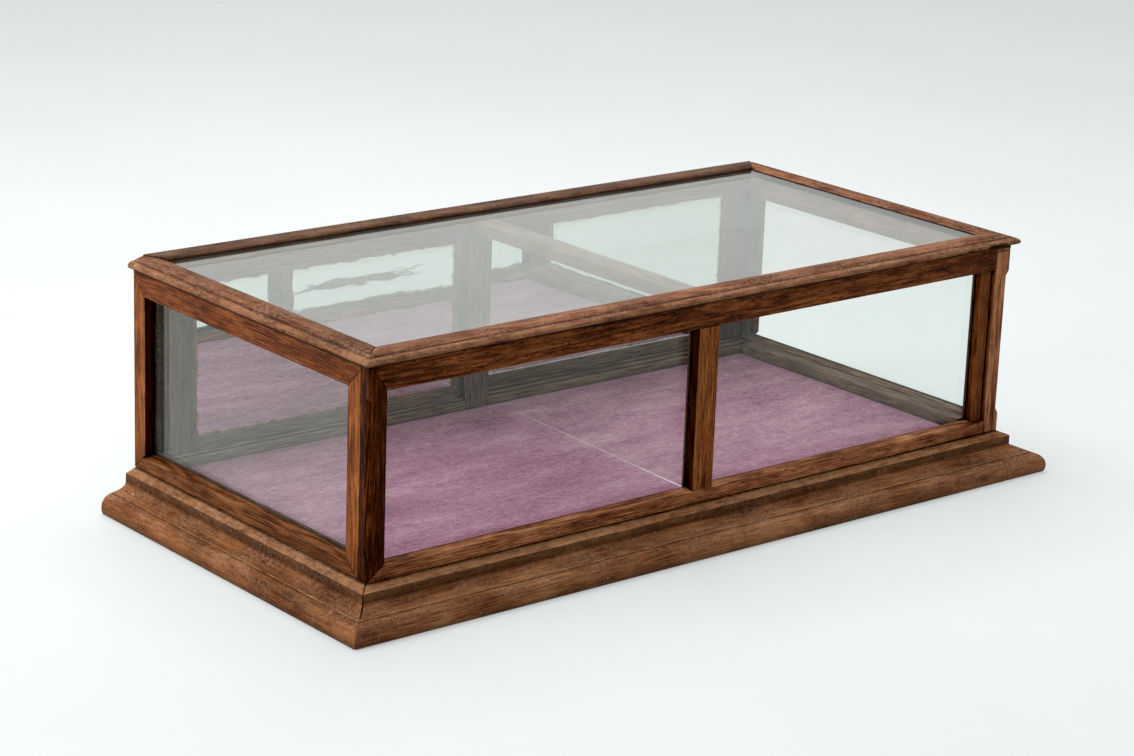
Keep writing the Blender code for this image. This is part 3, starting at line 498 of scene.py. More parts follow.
def mirror(name, low, high, seed, streak=None):
    """An old silvered plate: uneven, with its silver stained and flaking from the edges inwards.

    Streak is the middle and half the length and height of a long bare place, in X and Z.
    """
    g = Graph(name)
    place = g.place()
    parts = g.node("ShaderNodeSeparateXYZ", Vector=place)
    near = []
    for axis, start, end in (("X", low.x, high.x), ("Z", low.z, high.z)):
        spot = parts.outputs[axis]
        near += [g.math("SUBTRACT", spot, start), g.math("SUBTRACT", end, spot)]
    edge = g.math("MINIMUM", g.math("MINIMUM", near[0], near[1]), g.math("MINIMUM", near[2], near[3]))
    shifted = g.vector("ADD", place, (seed, 0, seed))
    ragged = g.noise(g.vector("MULTIPLY", shifted, (1, 1, 2.2)), 45, 6, 0.72)
    reach = g.math("SUBTRACT", edge, g.times(g.math("SUBTRACT", ragged, 0.48), FLAKE_SPREAD))
    lost = g.span(reach, FLAKE_START, FLAKE_END)
    rim = g.times(g.span(reach, STAIN_REACH, FLAKE_START), g.span(ragged, 0.35, 0.55))
    if streak:
        middle, size = streak
        away = g.vector("SUBTRACT", place, (middle[0], 0, middle[1]))
        spread = g.vector("LENGTH", g.vector("MULTIPLY", away, (1 / size[0], 0, 1 / size[1])))
        brushed = g.noise(g.vector("MULTIPLY", shifted, (1, 1, 7)), 22, 7, 0.75)
        bare = g.math("SUBTRACT", spread, g.times(g.math("SUBTRACT", brushed, 0.5), 4.0))
        lost = g.math("MAXIMUM", lost, g.span(bare, 1.05, 0.95, 0.0, 0.85))
    backing = g.ramp(g.noise(shifted, 120, 4, 0.7), (0.35, BARE_DARK), (0.6, BARE_LIGHT))
    silver = g.mix(rim, SILVER, STAINED_SILVER)
    uneven = g.sway((g.noise(place, 6, 1), 1.0), (g.noise(place, 34, 2), 0.1))
    shader = g.principled(
        Base_Color=g.mix(lost, silver, backing),
        Metallic=g.math("SUBTRACT", 1.0, lost),
        Roughness=g.times(lost, 0.5),
        Normal=g.bump(uneven, 1.0, 0.7 * MM),
    )
    return g.surface(shader)


def grains(name, first, second, scale, rough):
    """Putty, thread or iron: two colours in fine grains, with a slight bump."""
    g = Graph(name)
    grain = g.noise(g.place(), scale, 5, 0.65)
    shader = g.principled(
        Base_Color=g.ramp(grain, (0.35, first), (0.65, second)),
        Roughness=g.span(grain, 0.3, 0.7, rough - 0.1, rough + 0.1),
        Normal=g.bump(grain, 0.5, 0.4 * MM),
        Specular_IOR_Level=0.2,
    )
    return g.surface(shader)


def arc(centre, radii, first, last, steps=ARC_STEPS):
    """Points on an ellipse from the first angle to the last, in degrees."""
    turn = (radians(last) - radians(first)) / steps
    angles = [radians(first) + turn * step for step in range(steps + 1)]
    return [(centre[0] + radii[0] * cos(a), centre[1] + radii[1] * sin(a)) for a in angles]


def bow(start, end, swell, steps=ARC_STEPS):
    """Points on a shallow curve from one point to another, swelling to the right of the way there."""
    way = Vector(end) - Vector(start)
    out = Vector((way.y, -way.x)).normalized()
    spots = [step / steps for step in range(steps + 1)]
    return [tuple(Vector(start) + way * t + out * swell * sin(pi * t)) for t in spots]


def base_profile():
    """Reach and height of the base: foot, torus, step, cove, fillet, sloping ledge and floor rebate."""
    foot_radii = (BASE_REACH - BASE_FOOT_REACH, BASE_NOSE_HEIGHT)
    foot = arc((BASE_FOOT_REACH, BASE_NOSE_HEIGHT), foot_radii, -90, 0, FOOT_STEPS)
    torus_radii = (BASE_REACH - BASE_STEP_REACH, BASE_STEP_HEIGHT - BASE_NOSE_HEIGHT)
    torus = arc((BASE_STEP_REACH, BASE_NOSE_HEIGHT), torus_radii, 0, 90)
    cove_low = BASE_STEP_HEIGHT + BASE_STEP
    cove_radii = (BASE_STEP_REACH - BASE_STEP - BASE_LEDGE_REACH, BASE_COVE_TOP - cove_low)
    cove = arc((BASE_STEP_REACH - BASE_STEP, BASE_COVE_TOP), cove_radii, 270, 180)
    edge_centre = (BASE_LEDGE_REACH - BASE_EDGE, BASE_LEDGE_HEIGHT - BASE_EDGE)
    arris = arc(edge_centre, (BASE_EDGE, BASE_EDGE), 0, EDGE_TURN, EDGE_STEPS)
    quirk = [(BASE_STEP_REACH - BASE_STEP, BASE_STEP_HEIGHT)]
    top = bow(arris[-1], (0, BASE_HEIGHT), 0, EDGE_STEPS)[1:]
    rebate = [
        (FLOOR_REBATE - BASE_BOARD, BASE_HEIGHT),
        (FLOOR_REBATE - BASE_BOARD, BASE_HEIGHT - FLOOR_DROP),
        (-BASE_BOARD, BASE_HEIGHT - FLOOR_DROP),
        (-BASE_BOARD, 0),
    ]
    return foot + torus[1:] + quirk + cove + arris + top + rebate


def cornice_profile():
    """Reach and height of the cornice: nose, quirk, rounded band, and rebates for frame and glass."""
    quirk_height = FRAME_TOP + CORNICE_QUIRK_RISE
    nose_height = FRAME_TOP - CORNICE_NOSE_DROP
    glass_top = GLASS_TOP + GLASS_GAP
    reach = CORNICE_REACH - CORNICE_QUIRK_REACH
    drop = CORNICE_DROP - CORNICE_NOSE_DROP
    under = arc((CORNICE_QUIRK_REACH, nose_height), (reach, drop), -NOSE_UNDERCUT, 0, UNDERCUT_STEPS)
    nose = arc((CORNICE_QUIRK_REACH, nose_height), (reach, quirk_height - nose_height), 0, 90)
    ridge = (-CORNICE_CREST_SET, FRAME_TOP + CORNICE_RISE)
    outer = bow((CORNICE_QUIRK_REACH - CORNICE_QUIRK, quirk_height), ridge, CORNICE_SWELL)
    inner = bow(ridge, (-CORNICE_INSET, glass_top + CORNICE_EDGE), CORNICE_SWELL)
    quirk = [(CORNICE_QUIRK_REACH - CORNICE_QUIRK / 2, quirk_height - CORNICE_QUIRK)]
    rest = [
        (-CORNICE_INSET, glass_top),
        (-TOP_GLASS_INSET, glass_top),
        (-TOP_GLASS_INSET, FRAME_TOP + GLASS_GAP),
        (GLASS_GAP, FRAME_TOP + GLASS_GAP),
        (GLASS_GAP, nose_height - drop * sin(radians(NOSE_UNDERCUT))),
    ]
    return under + nose[1:] + quirk + outer + inner[1:] + rest


def rail_profile():
    """Reach and height of the rear rail: rounded inner face, flat top, rebates for head and glass."""
    glass_top = GLASS_TOP + GLASS_GAP
    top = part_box("cornice_rear")[1].z
    depth = REAR - REAR_RAIL_FRONT
    foot = glass_top + RAIL_EDGE
    face = arc((-RAIL_ROUND, foot), (RAIL_ROUND, top - foot), 0, 90)
    rest = [
        (-depth, top),
        (-depth, FRAME_TOP + GLASS_GAP),
        (TOP_GLASS_INSET - depth, FRAME_TOP + GLASS_GAP),
        (TOP_GLASS_INSET - depth, glass_top),
    ]
    return [(0.0, glass_top)] + face + rest


def bends(profile):
    """How far the outline turns near each point, in radians: over 0 outwards and under 0 inwards."""
    count = len(profile)
    points = [Vector(p) for p in profile]

    def tangent(index, way):
        """Direction of the outline about a turn reach away from a point."""
        here = index
        gone = 0.0
        while gone < TURN_REACH:
            step = points[(here + way) % count] - points[here]
            gone += step.length
            here = (here + way) % count
        return (points[here] - points[index]) * way

    return [tangent(i, -1).angle_signed(tangent(i, 1)) * -1 for i in range(count)]


def bend_wear(turn):
    """Wear where the outline turns outwards."""
    return min(1.0, max(0.0, turn - BEND_START) * BEND_WEAR)


def base_marks(reach, height, turn):
    """Wear and dark marks on the base: dirt in its seam, painted shade under its ledge and along its
    foot, a darker line at its step, and a ledge that is worn and lighter with a painted highlight.
    """
    wear = bend_wear(turn)
    if reach < SEAM_LINE and height > BASE_HEIGHT - SEAM_LINE / 2:
        return 0.0, 1.0
    # Painted shade under the ledge, on the fillet and the top of the cove
    if COVE_SHADOW < height < BASE_LEDGE_HEIGHT - SEAM_LINE / 2:
        return wear, COVE_SHADE * min(1.0, (height - COVE_SHADOW) / (BASE_COVE_TOP - COVE_SHADOW))
    # The ledge top: worn, and lighter with a painted highlight
    if height > BASE_LEDGE_HEIGHT - SEAM_LINE / 2:
        return LEDGE_WEAR_AND_HIGHLIGHT, 0.0
    # A darker line at the step
    if abs(reach - BASE_STEP_REACH) < SEAM_LINE and abs(height - BASE_STEP_HEIGHT) < BASE_STEP / 2:
        return 0.0, STEP_DARKENING
    # Painted shade, darker towards the foot
    if height < FOOT_SHADOW:
        return 0.0, FOOT_SHADE * (1 - height / FOOT_SHADOW)
    if BASE_STEP_REACH - ARRIS < reach < BASE_STEP_REACH and height > BASE_STEP_HEIGHT:
        return ARRIS_WEAR, 0.0
    return wear, 0.0


def cornice_marks(reach, height, turn):
    """Wear and dark marks on the cornice: a worn nose, a darker line in the quirk, and painted shade
    under the nose.
    """
    quirk_height = FRAME_TOP + CORNICE_QUIRK_RISE
    # A darker line in the quirk
    if abs(reach) < SEAM_LINE and abs(height - quirk_height) < SEAM_LINE:
        return 0.0, QUIRK_DARKENING
    # Painted shade under the nose
    if reach > 0 and height < FRAME_TOP - CORNICE_NOSE_DROP - SEAM_LINE / 2:
        return 0.0, 1.0
    if reach > 2 * SEAM_LINE:
        return NOSE_WEAR, 0.0
    return bend_wear(turn), 0.0


def rail_marks(reach, height, _turn):
    """Wear and dirt on the rear rail: dirt along the glass, and no wear at its turns."""
    if reach > -SEAM_LINE and height < GLASS_TOP + RAIL_EDGE:
        return 0.0, GLASS_DIRT
    return 0.0, 0.0


def square(_reach):
    """A square end doesn't move with the reach."""
    return 0.0


def mitred(reach):
    """A mitred end moves out as far as the reach."""
    return reach


def scarfed(reach):
    """A side cornice meets the rear rail on a slant, from its ridge at the back to its inner edge."""
    slant = (REAR - REAR_RAIL_FRONT) / (CORNICE_INSET - CORNICE_CREST_SET)
    return slant * min(0.0, reach + CORNICE_CREST_SET)


def splayed(reach):
    """The rear rail's ends fit the slants of the side cornices."""
    return -reach * (CORNICE_INSET - CORNICE_CREST_SET) / (REAR - REAR_RAIL_FRONT)


def chip_at(gone, reach, height):
    """How far the cornice's lower edge is splintered upwards, this far past the start of its chips."""
    if gone < 0 or reach < CORNICE_QUIRK_REACH:
        return 0.0
    low = FRAME_TOP - CORNICE_DROP
    share = max(0.0, 1 - (height - low) / (CORNICE_DROP + CORNICE_QUIRK_RISE))
    coarse = noise.noise(Vector((gone * CHIP_COARSE, CHIP_COARSE_SEED, 0)))
    fine = noise.noise(Vector((gone * CHIP_FINE, CHIP_FINE_SEED, 0)))
    splinter = max(0.0, coarse + CHIP_FINE_SHARE * fine + CHIP_BIAS)
    return share * min(CHIP_LIMIT, CHIP_DEPTH * splinter * min(1.0, gone / CHIP_FADE))


def rub_at(seat):
    """How far a place on a moulding has been rubbed and knocked, from 0 up."""
    detail = noise.noise(seat * RUB_DETAIL) * RUB_DETAIL_SHARE
    return max(0.0, detail + noise.noise(seat) - RUB_START)


def moulding(name, profile, marks, lay, face, ends, finish, chipped=None):
    """A worn moulding with an outline of reach and height, along X or Y.

    Marks gives the wear and the dark marks at a point of the outline: wear, with a painted highlight on
    the base's ledge, and dirt, darker lines and painted shade. Lay is the axis it runs along and the way
    its reach goes. Each of the two ends is a place, and how far the end moves out at a reach. Past
    chipped, its lower edge is splintered.
    """
    along, way = lay
    turns = bends(profile)
    count = len(profile)
    centre = Vector((sum(p[0] for p in profile) / count, sum(p[1] for p in profile) / count))
    (start, start_cut), (end, end_cut) = ends
    middle = max(2, round((end - start) / SECTION_STEP))
    inset = END_SECTIONS[-1]
    sections = [("start", d) for d in END_SECTIONS]
    sections += [("middle", step / middle) for step in range(1, middle)]
    sections += [("end", d) for d in reversed(END_SECTIONS)]
    bm = bmesh.new()
    wear = bm.verts.layers.float.new("wear")
    soil_and_shade = bm.verts.layers.float.new("soil_and_shade")
    rows = []
    for kind, spot in sections:
        row = []
        for (reach, height), turn in zip(profile, turns):
            first = start - start_cut(reach) + JOINT_GAP
            last = end + end_cut(reach) - JOINT_GAP
            if kind == "start":
                place = first + spot
            elif kind == "end":
                place = last - spot
            else:
                place = first + inset + (last - first - 2 * inset) * spot
            shrink = 0.0 if kind == "middle" else END_EASE * (1 - spot / inset) ** 2
            seat = Vector((place * RUB_ALONG, reach * RUB_ROUND, height * RUB_ROUND + face * RUB_SEED))
            rub = rub_at(seat)
            dent = ROUGHENING * abs(noise.noise(seat * ROUGH_SCALE))
            dent += DENT_DEPTH * rub * max(0.0, turn - DENT_BEND)
            # Wear with the ledge's painted highlight, and dirt, darker lines and painted shade, from the
            # marks
            worn, dirt_and_shade = marks(reach, height, turn)
            if height < FLAT_FOOT or reach < 0 or dirt_and_shade:
                dent = 0.0
            inward = (centre - Vector((reach, height))).normalized() * (dent + shrink)
            out = face + way * (reach + inward.x)
            chip = chip_at(place - chipped, reach, height) if chipped else 0.0
            up = height + inward.y + chip
            vert = bm.verts.new((place, out, up) if along == "X" else (out, place, up))
            vert[wear] = min(1.0, worn + rub * RUB_WEAR + chip / CHIP_DEPTH)
            vert[soil_and_shade] = dirt_and_shade * (1 - min(1.0, chip / CHIP_EDGE))
            row.append(vert)
        rows.append(row)
    skin(bm, rows)
    return shown(name, bm, finish)


def added(name, data):
    """A new object in the scene."""
    item = bpy.data.objects.new(name, data)
    bpy.context.scene.collection.objects.link(item)
    return item


def shown(name, bm, finish, smooth=SMOOTH_ANGLE, body="case"):
    """A piece on a body, from a bmesh, smooth up to an angle."""
    mesh = bpy.data.meshes.new(name)
    bm.to_mesh(mesh)
    bm.free()
    mesh.shade_smooth()
    mesh.set_sharp_from_angle(angle=radians(smooth))
    mesh.materials.append(finish)
    item = added(name, mesh)
    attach(item, body)
    return item


def skin(bm, rows):
    """Close a solid over its rings of points, and cap its two ends."""
    count = len(rows[0])
    for row, following in zip(rows, rows[1:]):
        for index in range(count):
            after = (index + 1) % count
            bm.faces.new((row[index], row[after], following[after], following[index]))
    bm.faces.new(rows[0])
    bm.faces.new(rows[-1])
    bmesh.ops.recalc_face_normals(bm, faces=bm.faces[:])


def ringed(name, rows, finish, body="case"):
    """A closed piece on a body, from the places of its rings of points."""
    bm = bmesh.new()
    skin(bm, [[bm.verts.new(place) for place in row] for row in rows])
    return shown(name, bm, finish, body=body)


MOULDING_PITH = {"X": (0, 0.01, -0.11), "Y": (0.01, 0, -0.11)}
CHIPS_FROM = {"cornice_front": RIGHT - 0.12}


def build_mouldings():
    """The base and the cornice, each length standing for its solid."""
    base = base_profile()
    cornice = cornice_profile()
    rail = rail_profile()
    rail_ends = ((LEFT + CORNICE_INSET, splayed), (RIGHT - CORNICE_INSET, splayed))
    lengths = (
        ("base_front_moulding", base, ("X", -1), FRONT, ((LEFT, mitred), (JOINT_X, square))),
        ("base_right_return", base, ("X", -1), FRONT, ((JOINT_X, square), (RIGHT, mitred))),
        ("base_left_moulding", base, ("Y", -1), LEFT, ((FRONT, mitred), (REAR, square))),
        ("base_right_moulding", base, ("Y", 1), RIGHT, ((FRONT, mitred), (REAR, square))),
        ("cornice_front", cornice, ("X", -1), FRONT, ((LEFT, mitred), (RIGHT, mitred))),
        ("cornice_left", cornice, ("Y", -1), LEFT, ((FRONT, mitred), (REAR, scarfed))),
        ("cornice_right", cornice, ("Y", 1), RIGHT, ((FRONT, mitred), (REAR, scarfed))),
        ("cornice_rear", rail, ("X", -1), REAR_RAIL_FRONT, rail_ends),
    )
    for node, profile, lay, face, ends in lengths:
        pith = MOULDING_PITH[lay[0]]
        if profile is base:
            # The lighter copy at the front and the darker copy at the sides are painted light and shade
            tones = FRONT_BASE_LIT_OAK if lay[0] == "X" else SIDE_BASE_SHADED_OAK
            wood = Wood(tones, lay[0], pith, wear=1.0, figure=0.1, fleck=0.12, dust=0.45, grain=0.5)
            marks = base_marks
        elif profile is rail:
            wood = Wood(RAIL_OAK, lay[0], pith, wear=0.5, figure=0.1, fleck=0.2, dust=0.2, grain=0.6)
            marks = rail_marks
        else:
            # The sides get the darker copy of the cornice's oak, as painted shade
            tones = CORNICE_OAK if lay[0] == "X" else SIDE_CORNICE_SHADED_OAK
            wood = Wood(tones, lay[0], pith, wear=0.8, figure=0.15, fleck=0.3, dust=0.38, grain=0.7)
            marks = cornice_marks
        finish = oak(node, wood, attributes=True)
        chipped = CHIPS_FROM.get(node)
        item = moulding("worn_" + node, profile, marks, lay, face, ends, finish, chipped)
        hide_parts(node)


# Lining: two cloths that meet at a seam, and a pale thread that thins towards the rear.
# Each cloth has its tones, and the lean of its brushed streaks in radians.
CLOTH_STEP = 6.0 * MM
CLOTH_WAVE = 0.35 * MM
CLOTH_WAVE_SCALE = 11
CLOTH_WAVE_SEED = 0.3
CLOTH_SMOOTH = 60
CLOTH_THICKNESS = 1.1 * MM
CLOTH_MEET = 0.05 * MM
CLOTH_LEFT = (srgb(138, 83, 111), srgb(184, 124, 151), srgb(218, 168, 191))
CLOTH_RIGHT = (srgb(143, 92, 119), srgb(192, 138, 161), srgb(223, 180, 197))
CLOTHS = {"left": (CLOTH_LEFT, 0.16), "right": (CLOTH_RIGHT, 0.1)}
THREAD_TONES = (srgb(196, 176, 188), srgb(232, 222, 228))
SEAM_REACH = 6.0 * MM
SEAM_RISE = 0.7 * MM
THREAD_FRONT = (6.0 * MM, -0.203)
THREAD_REAR = (25.0 * MM, 0.2)
THREAD_WIDTH = 2.4 * MM
THREAD_RISE = 0.5 * MM
THREAD_THIN = 0.15 * MM
THREAD_FADE = 0.4
THREAD_UNEVEN = 0.4
THREAD_WAVES = 60
THREAD_STEPS = 90


def cloth_height(x, y):
    """Height of the cloth's upper side, which is a little wavy and rises to the seam."""
    spot = Vector((x * CLOTH_WAVE_SCALE, y * CLOTH_WAVE_SCALE, CLOTH_WAVE_SEED))
    wave = noise.noise(spot) * CLOTH_WAVE
    seam = max(0.0, 1 - abs(x) / SEAM_REACH) ** 2 * SEAM_RISE
    return CLOTH_TOP - CLOTH_WAVE + wave + seam


def build_lining():
    """Two brushed velvet sheets that meet in the middle."""
    for side, (tones, lean) in CLOTHS.items():
        node = "lining_" + side
        low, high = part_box(node)
        size = high - low
        start = low.x if side == "left" else CLOTH_MEET
        end = -CLOTH_MEET if side == "left" else high.x
        columns = round(size.x / CLOTH_STEP)
        rows = round(size.y / CLOTH_STEP)
        bm = bmesh.new()
        xs = [start + (end - start) * column / columns for column in range(columns + 1)]
        ys = [low.y + size.y * row / rows for row in range(rows + 1)]
        grid = [[bm.verts.new((x, y, cloth_height(x, y))) for y in ys] for x in xs]
        for here, there in zip(grid, grid[1:]):
            for near in range(rows):
                bm.faces.new((here[near], there[near], there[near + 1], here[near + 1]))
        # Known flaw: the faces have no normals yet, so the lower side lands on the upper one
        bmesh.ops.solidify(bm, geom=bm.faces[:], thickness=CLOTH_THICKNESS)
        bmesh.ops.recalc_face_normals(bm, faces=bm.faces[:])
        finish = cloth("plum_cloth_" + side, tones, lean)
        item = shown("cloth_" + side, bm, finish, CLOTH_SMOOTH)
        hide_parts(node)


def build_thread():
    """The thread at the seam of the cloths, wide at the front and thin behind."""
    rows = []
    for step in range(THREAD_STEPS + 1):
        share = step / THREAD_STEPS
        x = THREAD_FRONT[0] + (THREAD_REAR[0] - THREAD_FRONT[0]) * share
        y = THREAD_FRONT[1] + (THREAD_REAR[1] - THREAD_FRONT[1]) * share
        uneven = 1 + THREAD_UNEVEN * noise.noise(Vector((0, y * THREAD_WAVES, 0)))
        half = max(THREAD_WIDTH / 2 * (1 - share / THREAD_FADE) * uneven, THREAD_THIN)
        section = ((-half, 0.0), (-half / 2, THREAD_RISE), (half / 2, THREAD_RISE), (half, 0.0))
        rows.append([(x + aside, y, cloth_height(x + aside, y) + rise) for aside, rise in section])
    item = ringed("seam_thread", rows, grains("pale_thread", *THREAD_TONES, 300, 0.9))


# Putty round the top glass, behind the end panes and at the right mirror, and the heads of nails
PUTTY_GRAIN = (260, 0.85)
DARK_PUTTY = (srgb(14, 9, 6), srgb(46, 34, 24))
END_PUTTY = (srgb(40, 35, 31), srgb(82, 74, 67))
PALE_PUTTY = (srgb(168, 164, 170), srgb(226, 222, 230))
PUTTY_STEP = 3.0 * MM
PUTTY_WIDTH = 2.2 * MM
PUTTY_SPREAD = 2.6 * MM
PUTTY_THIN = 0.4 * MM
PUTTY_COARSE = 90
PUTTY_FINE = 310
PUTTY_FINE_SHARE = 0.6
PUTTY_RISE_SCALE = 200
PUTTY_RISE_UNEVEN = 0.15
PUTTY_RISE_SHARE = 0.85
PUTTY_HOLLOW = (0.4, 0.5)
REAR_PUTTY_RISE = 1.0 * MM
SIDE_PUTTY_RISE = 1.5 * MM
BEAD_PUTTY_IN = 6.0 * MM
BEAD_PUTTY_OUT = 0.4 * MM
BEAD_PUTTY_ENDS = 1.0 * MM
BEAD_PUTTY_UNEVEN = 0.4 * MM
DOOR_BEAD_WIDTH = 8.0 * MM
MIRROR_PUTTY_ENDS = 9.0 * MM
MIRROR_PUTTY_RISE = 2.2 * MM
MIRROR_PUTTY_FRONT = 1.2 * MM
MIRROR_PUTTY_CREST = 0.5 * MM
MIRROR_PUTTY_BACK = 0.2 * MM
MIRROR_PUTTY_CREST_SHARE = 0.7
MIRROR_PUTTY_COARSE = 14
MIRROR_PUTTY_FINE = 90
MIRROR_PUTTY_FINE_SHARE = 0.7
MIRROR_PUTTY_MEAN = 0.7
MIRROR_PUTTY_LEAST = 0.15
NAIL_RADIUS = 1.5 * MM
NAIL_SIDES = 20
NAIL_UNEVEN = 0.12
NAIL_SEED = 50
NAIL_TONES = (srgb(18, 16, 15), srgb(54, 44, 36))
NAIL_RINGS = ((1.0, -0.3), (1.0, 0.2), (0.84, 0.4), (0.5, 0.34), (0.2, 0.26))
NAILS = {
    "nail_in_cleat": (0.508, -0.178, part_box("right_floor_cleat")[1].z),
    "nail_in_cornice_a": (0.470, FRONT + 4 * MM, FRAME_TOP + 6.9 * MM),
    "nail_in_cornice_b": (0.522, FRONT + 5 * MM, FRAME_TOP + 7.3 * MM),
    "nail_in_cornice_c": (-0.120, FRONT + 5 * MM, FRAME_TOP + 7.3 * MM),
}


def build_glass_putty():
    """Ragged old putty along the four edges of the top glass."""
    finish = grains("old_putty", *DARK_PUTTY, *PUTTY_GRAIN)
    left = LEFT + CORNICE_INSET
    right = RIGHT - CORNICE_INSET
    front = FRONT + CORNICE_INSET
    for name, start, end, inwards, rise in (
        ("putty_rear", (left, REAR_RAIL_FRONT), (right, REAR_RAIL_FRONT), (0, -1), REAR_PUTTY_RISE),
        ("putty_front", (left, front), (right, front), (0, 1), SIDE_PUTTY_RISE),
        ("putty_left", (left, front), (left, REAR_RAIL_FRONT), (1, 0), SIDE_PUTTY_RISE),
        ("putty_right", (right, front), (right, REAR_RAIL_FRONT), (-1, 0), SIDE_PUTTY_RISE),
    ):
        start = Vector((*start, GLASS_TOP))
        way = Vector((*end, GLASS_TOP)) - start
        out = Vector((*inwards, 0))
        steps = round(way.length / PUTTY_STEP)
        rows = []
        for step in range(steps + 1):
            foot = start + way * (step / steps)
            uneven = noise.noise(foot * PUTTY_COARSE)
            uneven += PUTTY_FINE_SHARE * noise.noise(foot * PUTTY_FINE)
            width = max(PUTTY_THIN, PUTTY_WIDTH + PUTTY_SPREAD * uneven)
            lumps = PUTTY_RISE_UNEVEN * noise.noise(foot * PUTTY_RISE_SCALE)
            height = rise * (PUTTY_RISE_SHARE + lumps)
            hollow = foot + out * width * PUTTY_HOLLOW[0] + Vector((0, 0, height * PUTTY_HOLLOW[1]))
            crest = foot + Vector((0, 0, height))
            rows.append((foot, foot + out * width, hollow, crest))
        ringed(name, rows, finish)


def build_bead_putty():
    """Old putty that shows in the corner between each end pane and its rear stile."""
    finish = grains("end_putty", *END_PUTTY, *PUTTY_GRAIN)
    for side, way in (("left", 1), ("right", -1)):
        low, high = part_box(side + "_beads")
        face = high.x if way > 0 else low.x
        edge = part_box(side + "_rear_stile")[0].y
        steps = round((high.z - low.z) / PUTTY_STEP)
        bottom = low.z + BEAD_PUTTY_ENDS
        top = high.z - BEAD_PUTTY_ENDS
        rows = []
        for step in range(steps + 1):
            height = bottom + (top - bottom) * step / steps
            uneven = BEAD_PUTTY_UNEVEN * noise.noise(Vector((0, way, height * PUTTY_COARSE)))
            corners = (
                (face - way * BEAD_PUTTY_IN, edge + 2 * BEAD_PUTTY_OUT),
                (face - way * BEAD_PUTTY_IN / 2, edge + uneven),
                (face + way * BEAD_PUTTY_OUT, edge + BEAD_PUTTY_OUT + uneven),
                (face + way * BEAD_PUTTY_OUT, edge + BEAD_PUTTY_IN),
                (face - way * BEAD_PUTTY_OUT, edge + BEAD_PUTTY_IN),
            )
            rows.append([(x, y, height) for x, y in corners])
        ringed("putty_" + side + "_bead", rows, finish)


def build_mirror_putty():
    """A pale ragged fillet of putty along the foot of the right mirror, on its bead."""
    finish = grains("pale_putty", *PALE_PUTTY, *PUTTY_GRAIN)
    low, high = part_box("right_door_beads")
    start = low.x + MIRROR_PUTTY_ENDS
    length = high.x - low.x - 2 * MIRROR_PUTTY_ENDS
    foot = low.z + DOOR_BEAD_WIDTH
    steps = round(length / PUTTY_STEP)
    rows = []
    for step in range(steps + 1):
        x = start + length * step / steps
        uneven = noise.noise(Vector((x * MIRROR_PUTTY_COARSE, 0, 0)))
        uneven += MIRROR_PUTTY_FINE_SHARE * noise.noise(Vector((x * MIRROR_PUTTY_FINE, 0, 2)))
        rise = MIRROR_PUTTY_RISE * max(MIRROR_PUTTY_LEAST, MIRROR_PUTTY_MEAN + uneven)
        corners = (
            (-MIRROR_PUTTY_FRONT, 0.0),
            (MIRROR_PUTTY_BACK, 0.0),
            (MIRROR_PUTTY_BACK, rise),
            (-MIRROR_PUTTY_CREST, rise * MIRROR_PUTTY_CREST_SHARE),
        )
        rows.append([(x, high.y + out, foot + up) for out, up in corners])
    ringed("putty_right_mirror", rows, finish, body="right_door")


def build_nails():
    """Small sunk nail heads of dark iron, each a turned rim round a hollow that the punch left."""
    finish = grains("dark_iron", *NAIL_TONES, 900, 0.6)
    for name, place in NAILS.items():
        middle = Vector(place)
        rows = []
        for reach, rise in NAIL_RINGS:
            row = []
            for side in range(NAIL_SIDES):
                turn = 2 * pi * side / NAIL_SIDES
                around = Vector((cos(turn), sin(turn), 0))
                uneven = reach * (1 + NAIL_UNEVEN * noise.noise(around + middle * NAIL_SEED))
                row.append(middle + (around * uneven + AXES["Z"] * rise) * NAIL_RADIUS)
            rows.append(row)
        ringed(name, rows, finish)


